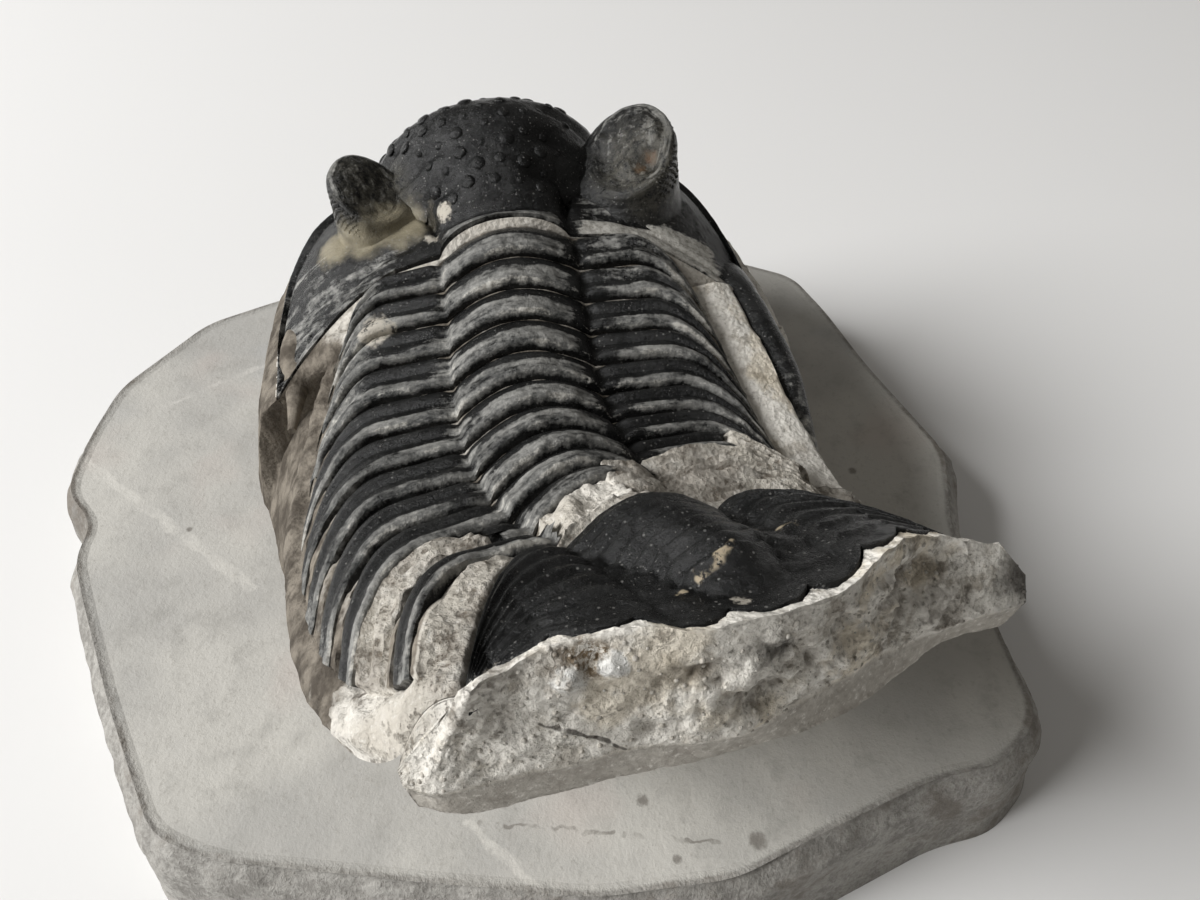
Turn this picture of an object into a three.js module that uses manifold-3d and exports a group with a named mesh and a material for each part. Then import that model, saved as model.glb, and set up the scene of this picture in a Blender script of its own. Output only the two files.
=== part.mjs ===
// A fossil trilobite, Hollardops, prepared on a pedestal of its own limestone.
// Millimetres, +Z up. The slab's underside is z = 0, the head points to +Y and the tail to -Y.
import * as THREE from 'three';
import Module from 'manifold-3d';

const wasm = await Module();
wasm.setup();

// Slab of limestone that the specimen stands on
const slabHeight = 11;
const slabEdgeBevel = 1.4;
const slabBevelHeight = 2.2;
const slabSideFlare = 1.5;
const slabWaist = 0.2;
const pedestalSink = 1;
const slabOutline = [
  [-26, -33.8], [-21, -35.7], [-4.6, -37.4], [8.3, -38.4], [18.8, -37], [26, -33.5],
  [35, -29.4], [40.7, -28.1], [44.8, -24.2], [43.8, -15.2], [42.4, -5], [44, 4.6],
  [38.1, 17.6], [35, 26], [31.9, 32.3], [25.8, 35], [8.3, 38.9], [-11.3, 36.7],
  [-30, 27.9], [-37, 23.9], [-43.7, 13.6], [-44.6, 6.5], [-44.5, -0.4], [-40.6, -4.6],
  [-41, -8.4], [-38.4, -13.4], [-33, -23], [-28.4, -30.2],
];

// Back of the animal: one smooth line along the axis, from the neck to the last segment
const segmentCount = 11;
const backX = [0.6, 2.0, 3.6, 6.4, 10.4];
const backY = [5.8, -2.7, -11.2, -18.5, -24.7];
const backZ = [35.3, 33.8, 33.6, 35.3, 39.0];
const backRoll = [-3.4, 0.3, 24];

// Cross-section of the thorax
const axisHalfWidthFront = 5.5;
const axisHalfWidthRear = 5.1;
const axisHeight = 2.2;
const axisRoundness = 0.9;
const ringBow = 0.6;
const pleuraLength = [9.8, 13.4, 11.2];
const pleuraBend = 0.4;
const pleuraInnerSlope = 4.9;
const pleuraOuterSlope = 55;
const pleuraSweep = 1.42;
const ledgeSlope = [64, 24];
const ledgeWidthLeft = [4.8, 3.4];
const ledgeWidthRight = [4.2, 4.2];

// Shell of the animal and the joint lines between its plates
const shellThickness = 0.9;
const matrixGap = 0.3;
const under = -(shellThickness + matrixGap);
const sheetSlack = 0.15;
const seatGrowth = 0.4;
const seatHeight = 3;
const plateInset = 0.06;
const tipTaper = 0.55;
const tipStart = 1.55;
const furrowDip = 0.3;
const closestEdges = 0.04;

// How far each segment's shell reaches from the axis: 1 is the axial furrow, 2 the pleural tip
const reachLeft = [1.85, 1.9, 1.92, 1.95, 2, 2, 2, 2, 2, 1.15, 2];
const reachRight = [2, 2, 2, 2, 2, 2, 2, 2, 1.35, 0.5, 0.1];

// Tail shield, tilted up behind the thorax
const tailOrigin = [10.7, -25.0, 39.3];
const tailYaw = 32.8;
const tailPitch = 39.7;
const tailRoll = 12.8;
const tailHalfWidth = 13.8;
const tailLength = 13;
const tailAxisHalfWidth = 4.9;
const tailAxisHeight = 2.1;
const tailCornerSweep = 9.2;
const tailSideDrop = 2.3;
const tailSideBulge = 1.1;
const tailRearDrop = 1.2;
const tailLobeDepth = 0.9;
const tailLobeAngle = 18;
const tailAxisTaper = 0.55;
const tailAxisTaperEnd = 0.8;
const tailAxisEnd = [0.74, 0.88];
const tailRingCount = 6;
const tailRingRelief = 0.22;
const tailRibCount = 4;
const tailRibRelief = 0.3;
const tailRibShift = 0.1;

// Head shield
const headYaw = 11;
const headRoll = -3;
const headHalfWidth = 20.5;
const headLength = 21.5;
const headSideDrop = 7.6;
const headSideSteepness = [2.5, 4.5];
const headFrontDrop = 9;
const headFrontSteepness = 2.8;
const headThinnestEdge = 0.8;
const neckJoint = 0.5;
const cheekBend = 9.4;
const cheekSweep = 4.5;
const neckRing = 2.3;
const neckFurrow = 0.9;
const neckFurrowAt = 2.5;
const neckFurrowHalfWidth = 1.4;
const glabellaHalfWidthRear = 5.3;
const glabellaHalfWidthFront = 10.9;
const glabellaWidening = [3, 15.5];
const glabellaHeight = 7.7;
const glabellaRising = [1, 12.5];
const glabellaFrontStart = 12;
const glabellaFrontLength = 9;
const glabellaDome = [2.2, 0.6];
const glabellaFurrows = [5.6, 8.8, 12];
const glabellaFurrowDepth = 0.75;
const glabellaFurrowReach = [0.35, 0.7];
const glabellaFurrowSlant = 1.6;
const glabellaFurrowHalfWidth = 1.2;

// Eyes: each lid is highest at its outer front and drops towards the glabella
const eyes = [
  { side: 12, forward: 7.5, radius: 4.3, height: 5.5, outward: 1 },
  { side: -10.6, forward: 8.1, radius: 3.3, height: 4.3, outward: -1 },
];
const eyeBreadth = 0.88;
const eyeLength = 1.08;
const eyeFootDepth = 0.25;
const eyeLidDrop = 0.6;
const eyeLidTurn = 35;

// Genal spines: the cheeks' rear corners drawn out beside the thorax
const spineRadius = 2.2;
const spineTaper = 0.54;
const spineInset = 0.8;
const spineBreadth = 0.85;
const spineThickness = 0.8;
const spineRoot = -4;
const spineLevel = -7.144;
const spineDip = 3.6;
const spineOutward = 1.4;
const spineOutwardEnd = 0.7;
const spineLengthRight = 20;
const spineLengthLeft = 8;

// Stone under the tail: its rear wall drops from the rim to an edge and then to a lip
const wallEdge = [
  [-0.7, -39.9, 40.2], [2.0, -40.1, 40.6], [9.5, -38.4, 41], [15.3, -37.3, 40.6],
  [21.8, -33, 39], [27.4, -29.9, 37.2], [32.6, -28, 36.6],
];
const wallLip = [
  [-0.2, -40.2, 38.6], [2.6, -40.3, 38.1], [9.5, -38.6, 38], [16.1, -37, 38],
  [21.5, -34.4, 36.5], [27.5, -29.9, 35.2], [33, -28.1, 34.7],
];
const creaseLeft = [[-0.9, -39.4, 41], [1.7, -38.3, 44.7]];
const tongueTip = [[30.2, -26.6, 40.9], [33.3, -26.8, 38.3]];
const shoulderStart = 0.3;
const headRimInset = 0.985;

// Foot of the pedestal on the slab
const footOutline = [
  [-16.8, -16.8], [-1.8, -25.5], [16.2, -21.8], [26.2, -10.8], [29.8, 4.2], [27.8, 16.2],
  [18.2, 28.2], [0.2, 32], [-16.8, 26.2], [-24.8, 12.2], [-25.2, 1], [-20.2, -10.8],
];
const flankBulge = 0.55;
const flankLevels = [0.12, 0.35, 0.65, 1];

const radians = Math.PI / 180;

function mix(a, b, fraction) {
  return a + (b - a) * fraction;
}

function smooth(low, high, value) {
  const t = Math.min(Math.max((value - low) / (high - low), 0), 1);
  return t * t * (3 - 2 * t);
}

// One smooth curve through evenly spaced values; fraction 0 is the first and 1 the last
function through(values, fraction) {
  const place = fraction * (values.length - 1);
  let sum = 0;
  values.forEach((value, i) => {
    let weight = value;
    values.forEach((other, j) => {
      if (j !== i) weight *= (place - j) / (i - j);
    });
    sum += weight;
  });
  return sum;
}

// Axes of a plate: towards the tail, towards the animal's right as seen here, and up
function plateAxes(origin, yaw, pitch, roll) {
  const back = new THREE.Vector3(
    Math.sin(yaw) * Math.cos(pitch), -Math.cos(yaw) * Math.cos(pitch), Math.sin(pitch));
  const level = new THREE.Vector3(Math.cos(yaw), Math.sin(yaw), 0);
  const upright = new THREE.Vector3().crossVectors(back, level);
  const right = level.clone().multiplyScalar(Math.cos(roll)).addScaledVector(upright, -Math.sin(roll));
  const up = upright.clone().multiplyScalar(Math.cos(roll)).addScaledVector(level, Math.sin(roll));
  return { origin, back, right, up };
}

function placed(axes, right, back, up) {
  return axes.origin.clone()
    .addScaledVector(axes.right, right)
    .addScaledVector(axes.back, back)
    .addScaledVector(axes.up, up);
}

function backLine(station) {
  const fraction = station / segmentCount;
  return new THREE.Vector3(
    through(backX, fraction), through(backY, fraction), through(backZ, fraction));
}

function thoraxAxes(station) {
  const step = 0.01;
  const run = backLine(station + step).sub(backLine(station - step));
  const yaw = Math.atan2(run.x, -run.y);
  const pitch = Math.atan2(run.z, Math.hypot(run.x, run.y));
  const roll = through(backRoll, station / segmentCount) * radians;
  return plateAxes(backLine(station), yaw, pitch, roll);
}

// A point of the thorax. across: 0 is the crest, 1 the furrow, 2 the pleural tip, past 2 the ledge
function thoraxPoint(station, across, lift) {
  const axes = thoraxAxes(station);
  const side = Math.sign(across);
  const reach = Math.abs(across);
  const fraction = station / segmentCount;
  const axisHalf = mix(axisHalfWidthFront, axisHalfWidthRear, fraction);
  if (reach <= 1) {
    const arch = axisHeight * Math.pow(Math.max(Math.cos(reach * Math.PI / 2), 0), axisRoundness);
    return placed(axes, across * axisHalf, -ringBow * (1 - reach * reach), arch + lift);
  }
  const length = through(pleuraLength, fraction);
  const along = Math.min(reach - 1, 1);
  const inner = Math.min(along, pleuraBend);
  const outer = along - inner;
  const slopeIn = pleuraInnerSlope * radians;
  const slopeOut = pleuraOuterSlope * radians;
  const bend = (slopeOut - slopeIn) / (1 - pleuraBend);
  const slope = slopeIn + bend * outer;
  let right = length * (inner * Math.cos(slopeIn) + (Math.sin(slope) - Math.sin(slopeIn)) / bend);
  let up = length * (-inner * Math.sin(slopeIn) + (Math.cos(slope) - Math.cos(slopeIn)) / bend);
  const [ledgeFront, ledgeRear] = side > 0 ? ledgeWidthRight : ledgeWidthLeft;
  const ledge = Math.max(reach - 2, 0) * mix(ledgeFront, ledgeRear, fraction);
  const ledgeAngle = ledgeSlope[side > 0 ? 1 : 0] * radians;
  right += ledge * Math.cos(ledgeAngle);
  up -= ledge * Math.sin(ledgeAngle);
  right += axisHalf + Math.sin(slope) * lift;
  up += Math.cos(slope) * lift;
  return placed(axes, side * right, length * pleuraSweep * outer * outer, up);
}

// Turns rings of points into one closed solid; the rings have equal counts
function loft(rings) {
  const size = rings[0].length;
  const points = rings.flat();
  const faces = [];
  for (let i = 0; i + 1 < rings.length; i++) {
    for (let j = 0; j < size; j++) {
      const a = i * size + j;
      const b = i * size + (j + 1) % size;
      faces.push([a, b, b + size], [a, b + size, a + size]);
    }
  }
  const last = (rings.length - 1) * size;
  for (let j = 1; j + 1 < size; j++) {
    faces.push([0, j + 1, j], [last, last + j, last + j + 1]);
  }
  return { points, faces };
}

function signedVolume(solid) {
  let sum = 0;
  solid.faces.forEach(([a, b, c]) => {
    const [p, q, r] = [solid.points[a], solid.points[b], solid.points[c]];
    sum += p.dot(q.clone().cross(r)) / 6;
  });
  return sum;
}

function asManifold(solid) {
  const outward = signedVolume(solid) > 0;
  const vertProperties = new Float32Array(solid.points.flatMap((p) => [p.x, p.y, p.z]));
  const ordered = solid.faces.map(([a, b, c]) => (outward ? [a, b, c] : [a, c, b]));
  const triVerts = new Uint32Array(ordered.flat());
  return new wasm.Manifold(new wasm.Mesh({ numProp: 3, vertProperties, triVerts }));
}

function asMesh(manifold, name, material) {
  const mesh = manifold.getMesh();
  const geometry = new THREE.BufferGeometry();
  geometry.setAttribute('position', new THREE.BufferAttribute(mesh.vertProperties, 3));
  geometry.setIndex(new THREE.BufferAttribute(mesh.triVerts, 1));
  geometry.computeVertexNormals();
  const result = new THREE.Mesh(geometry, material.clone());
  result.name = name;
  return result;
}

// Positions across the thorax at which every plate has an edge
const acrossSteps = [-2, -1.88, -1.72, -1.55, -1.4, -1.18, -1, -0.78, -0.5, -0.22, 0,
  0.22, 0.5, 0.78, 1, 1.18, 1.4, 1.55, 1.72, 1.88, 2];

function stepsBetween(low, high) {
  const inner = acrossSteps.filter(
    (step) => step > low + closestEdges && step < high - closestEdges);
  return [low, ...inner, high];
}

// Relief of one segment from its front edge to its rear edge, on the ring and on the pleura
const reliefPlaces = [0, 0.25, 0.5, 0.76, 1];
const ringRelief = [-0.5, -0.1, 0.15, 0.3, 0.3];
const pleuraRelief = [-0.35, 0.15, -0.25, 0.25, 0.15];
const tipFlattening = 0.6;

function segmentSolid(index) {
  const rings = stepsBetween(-reachLeft[index], reachRight[index]).map((across) => {
    const tip = smooth(tipStart, 2, Math.abs(across));
    const half = (0.5 - plateInset) * (1 - tipTaper * tip);
    const relief = Math.abs(across) < 1 ? ringRelief : pleuraRelief;
    const dip = Math.abs(across) === 1 ? furrowDip : 0;
    const top = reliefPlaces.map((place, k) => {
      const station = index + 0.5 + mix(-half, half, place);
      return thoraxPoint(station, across, relief[k] * (1 - tipFlattening * tip) - dip);
    });
    const below = [half, -half].map((offset) =>
      thoraxPoint(index + 0.5 + offset, across, -shellThickness));
    return [...top, ...below];
  });
  return loft(rings);
}

const tailAxes = plateAxes(
  new THREE.Vector3(...tailOrigin), tailYaw * radians, tailPitch * radians, tailRoll * radians);

// Length of the tail shield from its front edge to its rim, which has a lobe at each spine base
function tailRim(across, lobeDepth) {
  const turn = Math.asin(across) / radians;
  const lobe = Math.abs(Math.sin(turn / tailLobeAngle * Math.PI + Math.PI / 2));
  const notch = Math.pow(1 - lobe, 1.5) * lobeDepth * (1 - 0.5 * Math.abs(across));
  return Math.max(tailLength * Math.sqrt(Math.max(1 - across * across, 0)) - notch, 0.5);
}

// A point of the tail shield: across -1 to 1 between its corners, along 0 front edge to 1 rear rim
function tailPoint(across, along, lift, lobeDepth) {
  const side = Math.abs(across);
  const furrow = tailAxisHalfWidth / tailHalfWidth;
  const sideWay = Math.max((side - furrow) / (1 - furrow), 0);
  const reach = tailRim(across, lobeDepth) * along;
  const way = reach / tailLength;
  const axisHalf = furrow * (1 - tailAxisTaper * Math.min(way / tailAxisTaperEnd, 1));
  const inAxis = Math.min(side / axisHalf, 1);
  const [fadeStart, fadeEnd] = tailAxisEnd;
  const axisFade = Math.min(Math.max((fadeEnd - way) / (fadeEnd - fadeStart), 0), 1);
  const crest = Math.pow(Math.max(Math.cos(inAxis * Math.PI / 2), 0), axisRoundness);
  const arch = tailAxisHeight * (1 - 0.3 * way) * crest * axisFade;
  const bulge = tailSideBulge * Math.sin(Math.PI * Math.pow(sideWay, 0.7)) * (1 - 0.6 * way);
  const up = arch + bulge - tailSideDrop * Math.pow(sideWay, 1.8) - tailRearDrop * way * way;
  const back = reach + tailCornerSweep * sideWay * sideWay * (1 - way);
  return placed(tailAxes, across * tailHalfWidth, back, up + lift);
}

// Rings across the tail's axis and ribs along its sides
function tailRelief(across, along) {
  const side = Math.abs(across) * tailHalfWidth;
  const rings = tailRingRelief * Math.sin(along * tailRingCount * 2 * Math.PI);
  const phase = (along + tailRibShift) * tailRibCount * 2 * Math.PI;
  const ribs = tailRibRelief * Math.sin(phase) * (1 - along);
  return side < tailAxisHalfWidth * (1 - 0.5 * along) ? rings : ribs;
}

const tailColumns = 26;
const tailRows = 12;

function tailAcross(column) {
  const even = 2 * column / tailColumns - 1;
  return 0.75 * even + 0.25 * Math.sin(even * Math.PI / 2);
}

function tailSolid() {
  const rings = [];
  for (let i = 0; i <= tailColumns; i++) {
    const ring = [];
    const across = tailAcross(i);
    for (let j = 0; j <= tailRows; j++) {
      const along = j / tailRows;
      ring.push(tailPoint(across, along, tailRelief(across, along), tailLobeDepth));
    }
    for (let j = tailRows; j >= 0; j -= 3) {
      ring.push(tailPoint(across, j / tailRows, -shellThickness, tailLobeDepth));
    }
    rings.push(ring);
  }
  return loft(rings);
}

const headAxes = plateAxes(backLine(0), headYaw * radians, 0, headRoll * radians);

function glabellaHalf(forward) {
  return mix(glabellaHalfWidthRear, glabellaHalfWidthFront, smooth(...glabellaWidening, forward));
}

// Height of the head's middle over its vault, from the neck ring over the glabella to its front
function glabellaRise(forward) {
  const swell = mix(neckRing, glabellaHeight, smooth(...glabellaRising, forward));
  const past = Math.max(forward - glabellaFrontStart, 0) / glabellaFrontLength;
  const front = Math.sqrt(Math.max(1 - past * past, 0));
  const furrow = 1 - smooth(0, neckFurrowHalfWidth, Math.abs(forward - neckFurrowAt));
  return swell * front - neckFurrow * furrow;
}

// Depth of the paired furrows that notch the glabella's sides and slant back towards the middle
function sideFurrow(inside, forward) {
  const reach = smooth(...glabellaFurrowReach, inside) * (1 - smooth(0.9, 1, inside));
  return glabellaFurrows.reduce((depth, place) => {
    const slant = glabellaFurrowSlant * (inside - glabellaFurrowReach[1]);
    const offset = Math.abs(forward - place - slant);
    const notch = 1 - smooth(0, glabellaFurrowHalfWidth, offset);
    return depth + glabellaFurrowDepth * reach * notch;
  }, 0);
}

// Height of the head's surface over its own axes
function headHeight(right, forward) {
  const sideWay = Math.abs(right) / headHalfWidth;
  const frontWay = Math.max(forward, 0) / headLength;
  const steepness = mix(...headSideSteepness, smooth(0, 8, forward));
  const side = headSideDrop * Math.pow(sideWay, steepness);
  const vault = -side - headFrontDrop * Math.pow(frontWay, headFrontSteepness);
  const inside = Math.min(Math.abs(right) / glabellaHalf(forward), 1);
  const [fullness, roundness] = glabellaDome;
  const dome = Math.pow(Math.max(1 - Math.pow(inside, fullness), 0), roundness);
  return vault + dome * glabellaRise(forward) - sideFurrow(inside, forward);
}

// Rear edge of the head: bowed like the rings at the neck, drawn back along the cheeks
function headRear(right) {
  const bow = ringBow * Math.max(1 - Math.pow(right / axisHalfWidthFront, 2), 0);
  const cheek = Math.max(Math.abs(right) - cheekBend, 0) / pleuraLength[0];
  return neckJoint + bow - cheekSweep * Math.pow(cheek, 1.3);
}

// A point of the head shield: across -1 to 1 between the cheeks, along 0 neck edge to 1 front rim
function headPoint(across, along, lift) {
  const turn = across * Math.PI / 2;
  const rear = headRear(across * headHalfWidth);
  const right = mix(across * headHalfWidth, Math.sin(turn) * headHalfWidth, along);
  const front = Math.max(Math.cos(turn) * headLength, rear + headThinnestEdge);
  const forward = mix(rear, front, along);
  return placed(headAxes, right, -forward, headHeight(right, forward) + lift);
}

const headColumns = 30;
const headRows = 18;

const headEdges = [0, 0.2, 0.4, 0.55, 0.7, 0.85, 1];

function headShell() {
  const rings = [];
  for (let i = 0; i <= headColumns; i++) {
    const ring = [];
    const across = 2 * i / headColumns - 1;
    for (let j = 0; j <= headRows; j++) ring.push(headPoint(across, j / headRows, 0));
    headEdges.slice().reverse().forEach((along) => {
      ring.push(headPoint(across, along, -shellThickness));
    });
    rings.push(ring);
  }
  return loft(rings);
}

// Seat cut in the stone for the head: the shield's underside, wider all round by a joint
function headSeatRing(across, aside) {
  const turn = across * Math.PI / 2;
  const moved = (along, lift, right, forward) => headPoint(across, along, lift)
    .addScaledVector(headAxes.right, right * seatGrowth + aside)
    .addScaledVector(headAxes.back, -forward * seatGrowth);
  const level = (lift) => [
    moved(0, lift, 0, -1),
    ...headEdges.map((along) => moved(along, lift, 0, 0)),
    moved(1, lift, Math.sin(turn), Math.cos(turn)),
  ];
  return [...level(seatHeight), ...level(under).reverse()];
}

function headSeat() {
  const rings = [headSeatRing(-1, -seatGrowth)];
  for (let i = 0; i <= headColumns; i++) rings.push(headSeatRing(2 * i / headColumns - 1, 0));
  rings.push(headSeatRing(1, seatGrowth));
  return loft(rings);
}

// Levels of an eye from its foot on the cheek to its hollow lid: height, outer width, inner width
const eyeLevels = [[0, 0.25, 0.25], [0, 0.7, 0.6], [0, 1.08, 0.82], [0.35, 0.97, 0.86],
  [0.7, 1.02, 0.9], [0.9, 0.98, 0.88], [1, 0.84, 0.76], [0.84, 0.5, 0.45]];
const eyeSides = 16;

function eyePoint(eye, turn, [level, outer, inner]) {
  const width = eye.radius * eyeBreadth * (Math.cos(turn) > 0 ? outer : inner);
  const right = eye.side + eye.outward * Math.cos(turn) * width;
  const forward = eye.forward + Math.sin(turn) * eye.radius * eyeLength * outer;
  const fall = 0.5 - 0.5 * Math.cos(turn - eyeLidTurn * radians);
  const tower = headHeight(eye.side, eye.forward) + level * eye.height * (1 - eyeLidDrop * fall);
  const foot = headHeight(right, forward) - eyeFootDepth;
  return placed(headAxes, right, -forward, level === 0 ? foot : tower);
}

function eyeSolid(eye) {
  const turns = Array.from({ length: eyeSides }, (_, k) => k / eyeSides * 2 * Math.PI);
  return loft(eyeLevels.map((level) => turns.map((turn) => eyePoint(eye, turn, level))));
}

const spineSides = 8;
const spineStations = 8;

function spinePoint(side, back, radius, turn) {
  const spread = Math.max(back, 0) / spineLengthRight;
  const middle = headHalfWidth - spineRadius * spineInset
    + spineOutward * smooth(0, spineOutwardEnd, spread);
  const right = middle + Math.cos(turn) * radius * spineBreadth;
  const up = spineLevel - spineDip * Math.pow(spread, 3) + Math.sin(turn) * radius * spineThickness;
  return placed(headAxes, side * right, back, up);
}

// A genal spine, or with a clearance the groove that it lies in
function spineSolid(side, length, clearance) {
  const turns = Array.from({ length: spineSides }, (_, k) => k / spineSides * 2 * Math.PI);
  const rings = [];
  for (let i = 0; i <= spineStations; i++) {
    const back = mix(spineRoot, length + clearance, i / spineStations);
    const taper = spineTaper * Math.pow(Math.max(back, 0) / length, 1.5);
    const radius = spineRadius * (1 - taper) + clearance;
    rings.push(turns.map((turn) => spinePoint(side, back, radius, turn)));
  }
  return loft(rings);
}

function cephalon() {
  return asManifold(headShell())
    .add(asManifold(eyeSolid(eyes[0])))
    .add(asManifold(eyeSolid(eyes[1])))
    .add(asManifold(spineSolid(1, spineLengthRight, 0)))
    .add(asManifold(spineSolid(-1, spineLengthLeft, 0)));
}

// The stone's upper sheet: rows from the head's front edge to the lip under the tail
const sheetSteps = [-3, -2.5, ...acrossSteps, 2.5, 3];

function headSheetRow(along) {
  const row = [];
  for (let i = 0; i <= headColumns; i++) {
    row.push(headPoint(2 * i / headColumns - 1, along, under - sheetSlack));
  }
  return row;
}

function thoraxSheetRow(station) {
  return sheetSteps.map((step) => thoraxPoint(station, step, under));
}

// Under the tail the sheet widens into a shoulder at the left and the wedge's tip at the right
function tailSheetRow(along) {
  const beside = (step, target) =>
    thoraxPoint(segmentCount, step, under)
      .lerp(new THREE.Vector3(...target), mix(shoulderStart, 1, along));
  const row = [beside(-3, creaseLeft[0]), beside(-2.5, creaseLeft[1])];
  for (let i = 0; i <= tailColumns; i++) row.push(tailPoint(tailAcross(i), along, under, 0));
  row.push(beside(2.5, tongueTip[0]), beside(3, tongueTip[1]));
  return row;
}

function wallRow(outline) {
  const curve = new THREE.CatmullRomCurve3(outline.map((point) => new THREE.Vector3(...point)));
  return curve.getPoints(tailColumns + 4);
}

function sheetRows() {
  const rows = [];
  headEdges.slice().reverse().forEach((along) => {
    rows.push(headSheetRow(Math.min(along, headRimInset)));
  });
  for (let index = 0; index < segmentCount; index++) rows.push(thoraxSheetRow(index + 0.5));
  for (let j = 0; j <= tailRows; j += 3) rows.push(tailSheetRow(j / tailRows));
  rows.push(wallRow(wallEdge), wallRow(wallLip));
  return rows;
}

// Triangles between two rows of points whose counts may differ
function bridge(first, second) {
  const faces = [];
  let i = 0;
  let j = 0;
  while (i + 1 < first.length || j + 1 < second.length) {
    const nextFirst = (i + 1) / (first.length - 1);
    const nextSecond = (j + 1) / (second.length - 1);
    if (nextFirst <= nextSecond) {
      faces.push([first[i], first[i + 1], second[j]]);
      i += 1;
    } else {
      faces.push([first[i], second[j + 1], second[j]]);
      j += 1;
    }
  }
  return faces;
}

// Where a line from the foot's middle towards a point of the rim meets the foot's outline
function footPoint(x, y) {
  const point = new THREE.Vector3(0, 0, slabHeight - pedestalSink);
  footOutline.forEach(([ax, ay], i) => {
    const [bx, by] = footOutline[(i + 1) % footOutline.length];
    const cross = x * (by - ay) - y * (bx - ax);
    const scale = (ax * (by - ay) - ay * (bx - ax)) / cross;
    const share = (y * ax - x * ay) / cross;
    if (scale > 0 && share >= 0 && share <= 1) {
      point.setX(x * scale);
      point.setY(y * scale);
    }
  });
  return point;
}

// Numbers the points of every row in the order in which the rows follow each other
function numbered(rows) {
  let start = 0;
  return rows.map((row) => {
    const indices = row.map((_, i) => start + i);
    start += row.length;
    return indices;
  });
}

// The sheet's edge, once round: front row, right ends, last row, left ends
function sheetEdge(rows) {
  const inner = rows.slice(1, -1);
  const last = rows[rows.length - 1];
  return [...rows[0], ...inner.map((row) => row[row.length - 1]),
    ...last.slice().reverse(), ...inner.map((row) => row[0]).reverse()];
}

// One ring of the flank between the rim and the foot; level 0 is the rim and 1 the foot
function flankRing(rim, feet, level) {
  const inward = Math.pow(level, flankBulge);
  return rim.map((point, k) => new THREE.Vector3(
    mix(point.x, feet[k].x, inward), mix(point.y, feet[k].y, inward),
    mix(point.z, feet[k].z, level)));
}

function pedestal() {
  const rows = sheetRows();
  const indexRows = numbered(rows);
  const points = rows.flat();
  const faces = [];
  for (let j = 0; j + 1 < rows.length; j++) faces.push(...bridge(indexRows[j], indexRows[j + 1]));
  const edge = sheetEdge(indexRows);
  const rim = edge.map((index) => points[index]);
  const feet = rim.map((point) => footPoint(point.x, point.y));
  let upper = edge;
  flankLevels.forEach((level) => {
    const lower = edge.map((_, k) => points.length + k);
    points.push(...flankRing(rim, feet, level));
    upper.forEach((_, k) => {
      const next = (k + 1) % upper.length;
      faces.push([upper[k], lower[k], lower[next]], [upper[k], lower[next], upper[next]]);
    });
    upper = lower;
  });
  points.push(new THREE.Vector3(0, 0, slabHeight - pedestalSink));
  upper.forEach((index, k) => {
    faces.push([index, points.length - 1, upper[(k + 1) % upper.length]]);
  });
  return { points, faces };
}

function slabSolid() {
  const levels = [[0, slabSideFlare], [slabHeight - slabBevelHeight, slabWaist],
    [slabHeight, -slabEdgeBevel]];
  const rings = levels.map(([z, outward]) => slabOutline.map(([x, y]) => {
    const scale = 1 + outward / Math.hypot(x, y);
    return new THREE.Vector3(x * scale, y * scale, z);
  }));
  return loft(rings);
}

function matrixStone() {
  return asManifold(pedestal())
    .add(asManifold(slabSolid()))
    .subtract(asManifold(headSeat()))
    .subtract(asManifold(spineSolid(1, spineLengthRight, matrixGap)))
    .subtract(asManifold(spineSolid(-1, spineLengthLeft, matrixGap)));
}

const shellMaterial = new THREE.MeshStandardMaterial({ color: 0x26282b, roughness: 0.42, metalness: 0 });
const stoneMaterial = new THREE.MeshStandardMaterial({ color: 0xb9b3a7, roughness: 0.9, metalness: 0 });

const group = new THREE.Group();
group.add(asMesh(matrixStone(), 'matrix', stoneMaterial));
group.add(asMesh(cephalon(), 'cephalon', shellMaterial));
for (let index = 0; index < segmentCount; index++) {
  const name = 'thoracic_segment_' + String(index + 1).padStart(2, '0');
  group.add(asMesh(asManifold(segmentSolid(index)), name, shellMaterial));
}
group.add(asMesh(asManifold(tailSolid()), 'pygidium', shellMaterial));

export default group;
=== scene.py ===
# %% [markdown]
# # A trilobite on its limestone pedestal
# The solids of the part are loaded first.

# %% Load the part
import math
import bmesh
import bpy
import numpy as np
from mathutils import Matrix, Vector


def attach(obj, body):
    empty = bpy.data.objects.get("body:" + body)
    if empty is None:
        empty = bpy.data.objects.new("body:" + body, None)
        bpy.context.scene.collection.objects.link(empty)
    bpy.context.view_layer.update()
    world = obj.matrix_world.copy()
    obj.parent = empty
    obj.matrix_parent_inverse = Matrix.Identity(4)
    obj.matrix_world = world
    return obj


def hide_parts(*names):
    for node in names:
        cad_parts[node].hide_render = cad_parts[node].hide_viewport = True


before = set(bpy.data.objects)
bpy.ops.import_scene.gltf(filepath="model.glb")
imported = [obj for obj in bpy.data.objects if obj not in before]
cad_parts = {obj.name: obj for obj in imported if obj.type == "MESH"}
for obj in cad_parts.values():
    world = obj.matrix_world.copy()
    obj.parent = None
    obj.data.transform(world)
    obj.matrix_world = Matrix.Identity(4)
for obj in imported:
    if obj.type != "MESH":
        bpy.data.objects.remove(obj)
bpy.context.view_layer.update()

# %% [markdown]
# The animal's back is one smooth line. Every plate is placed by a station along that line
# and by how far it reaches across, so the detailed shells follow the solids exactly.

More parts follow.
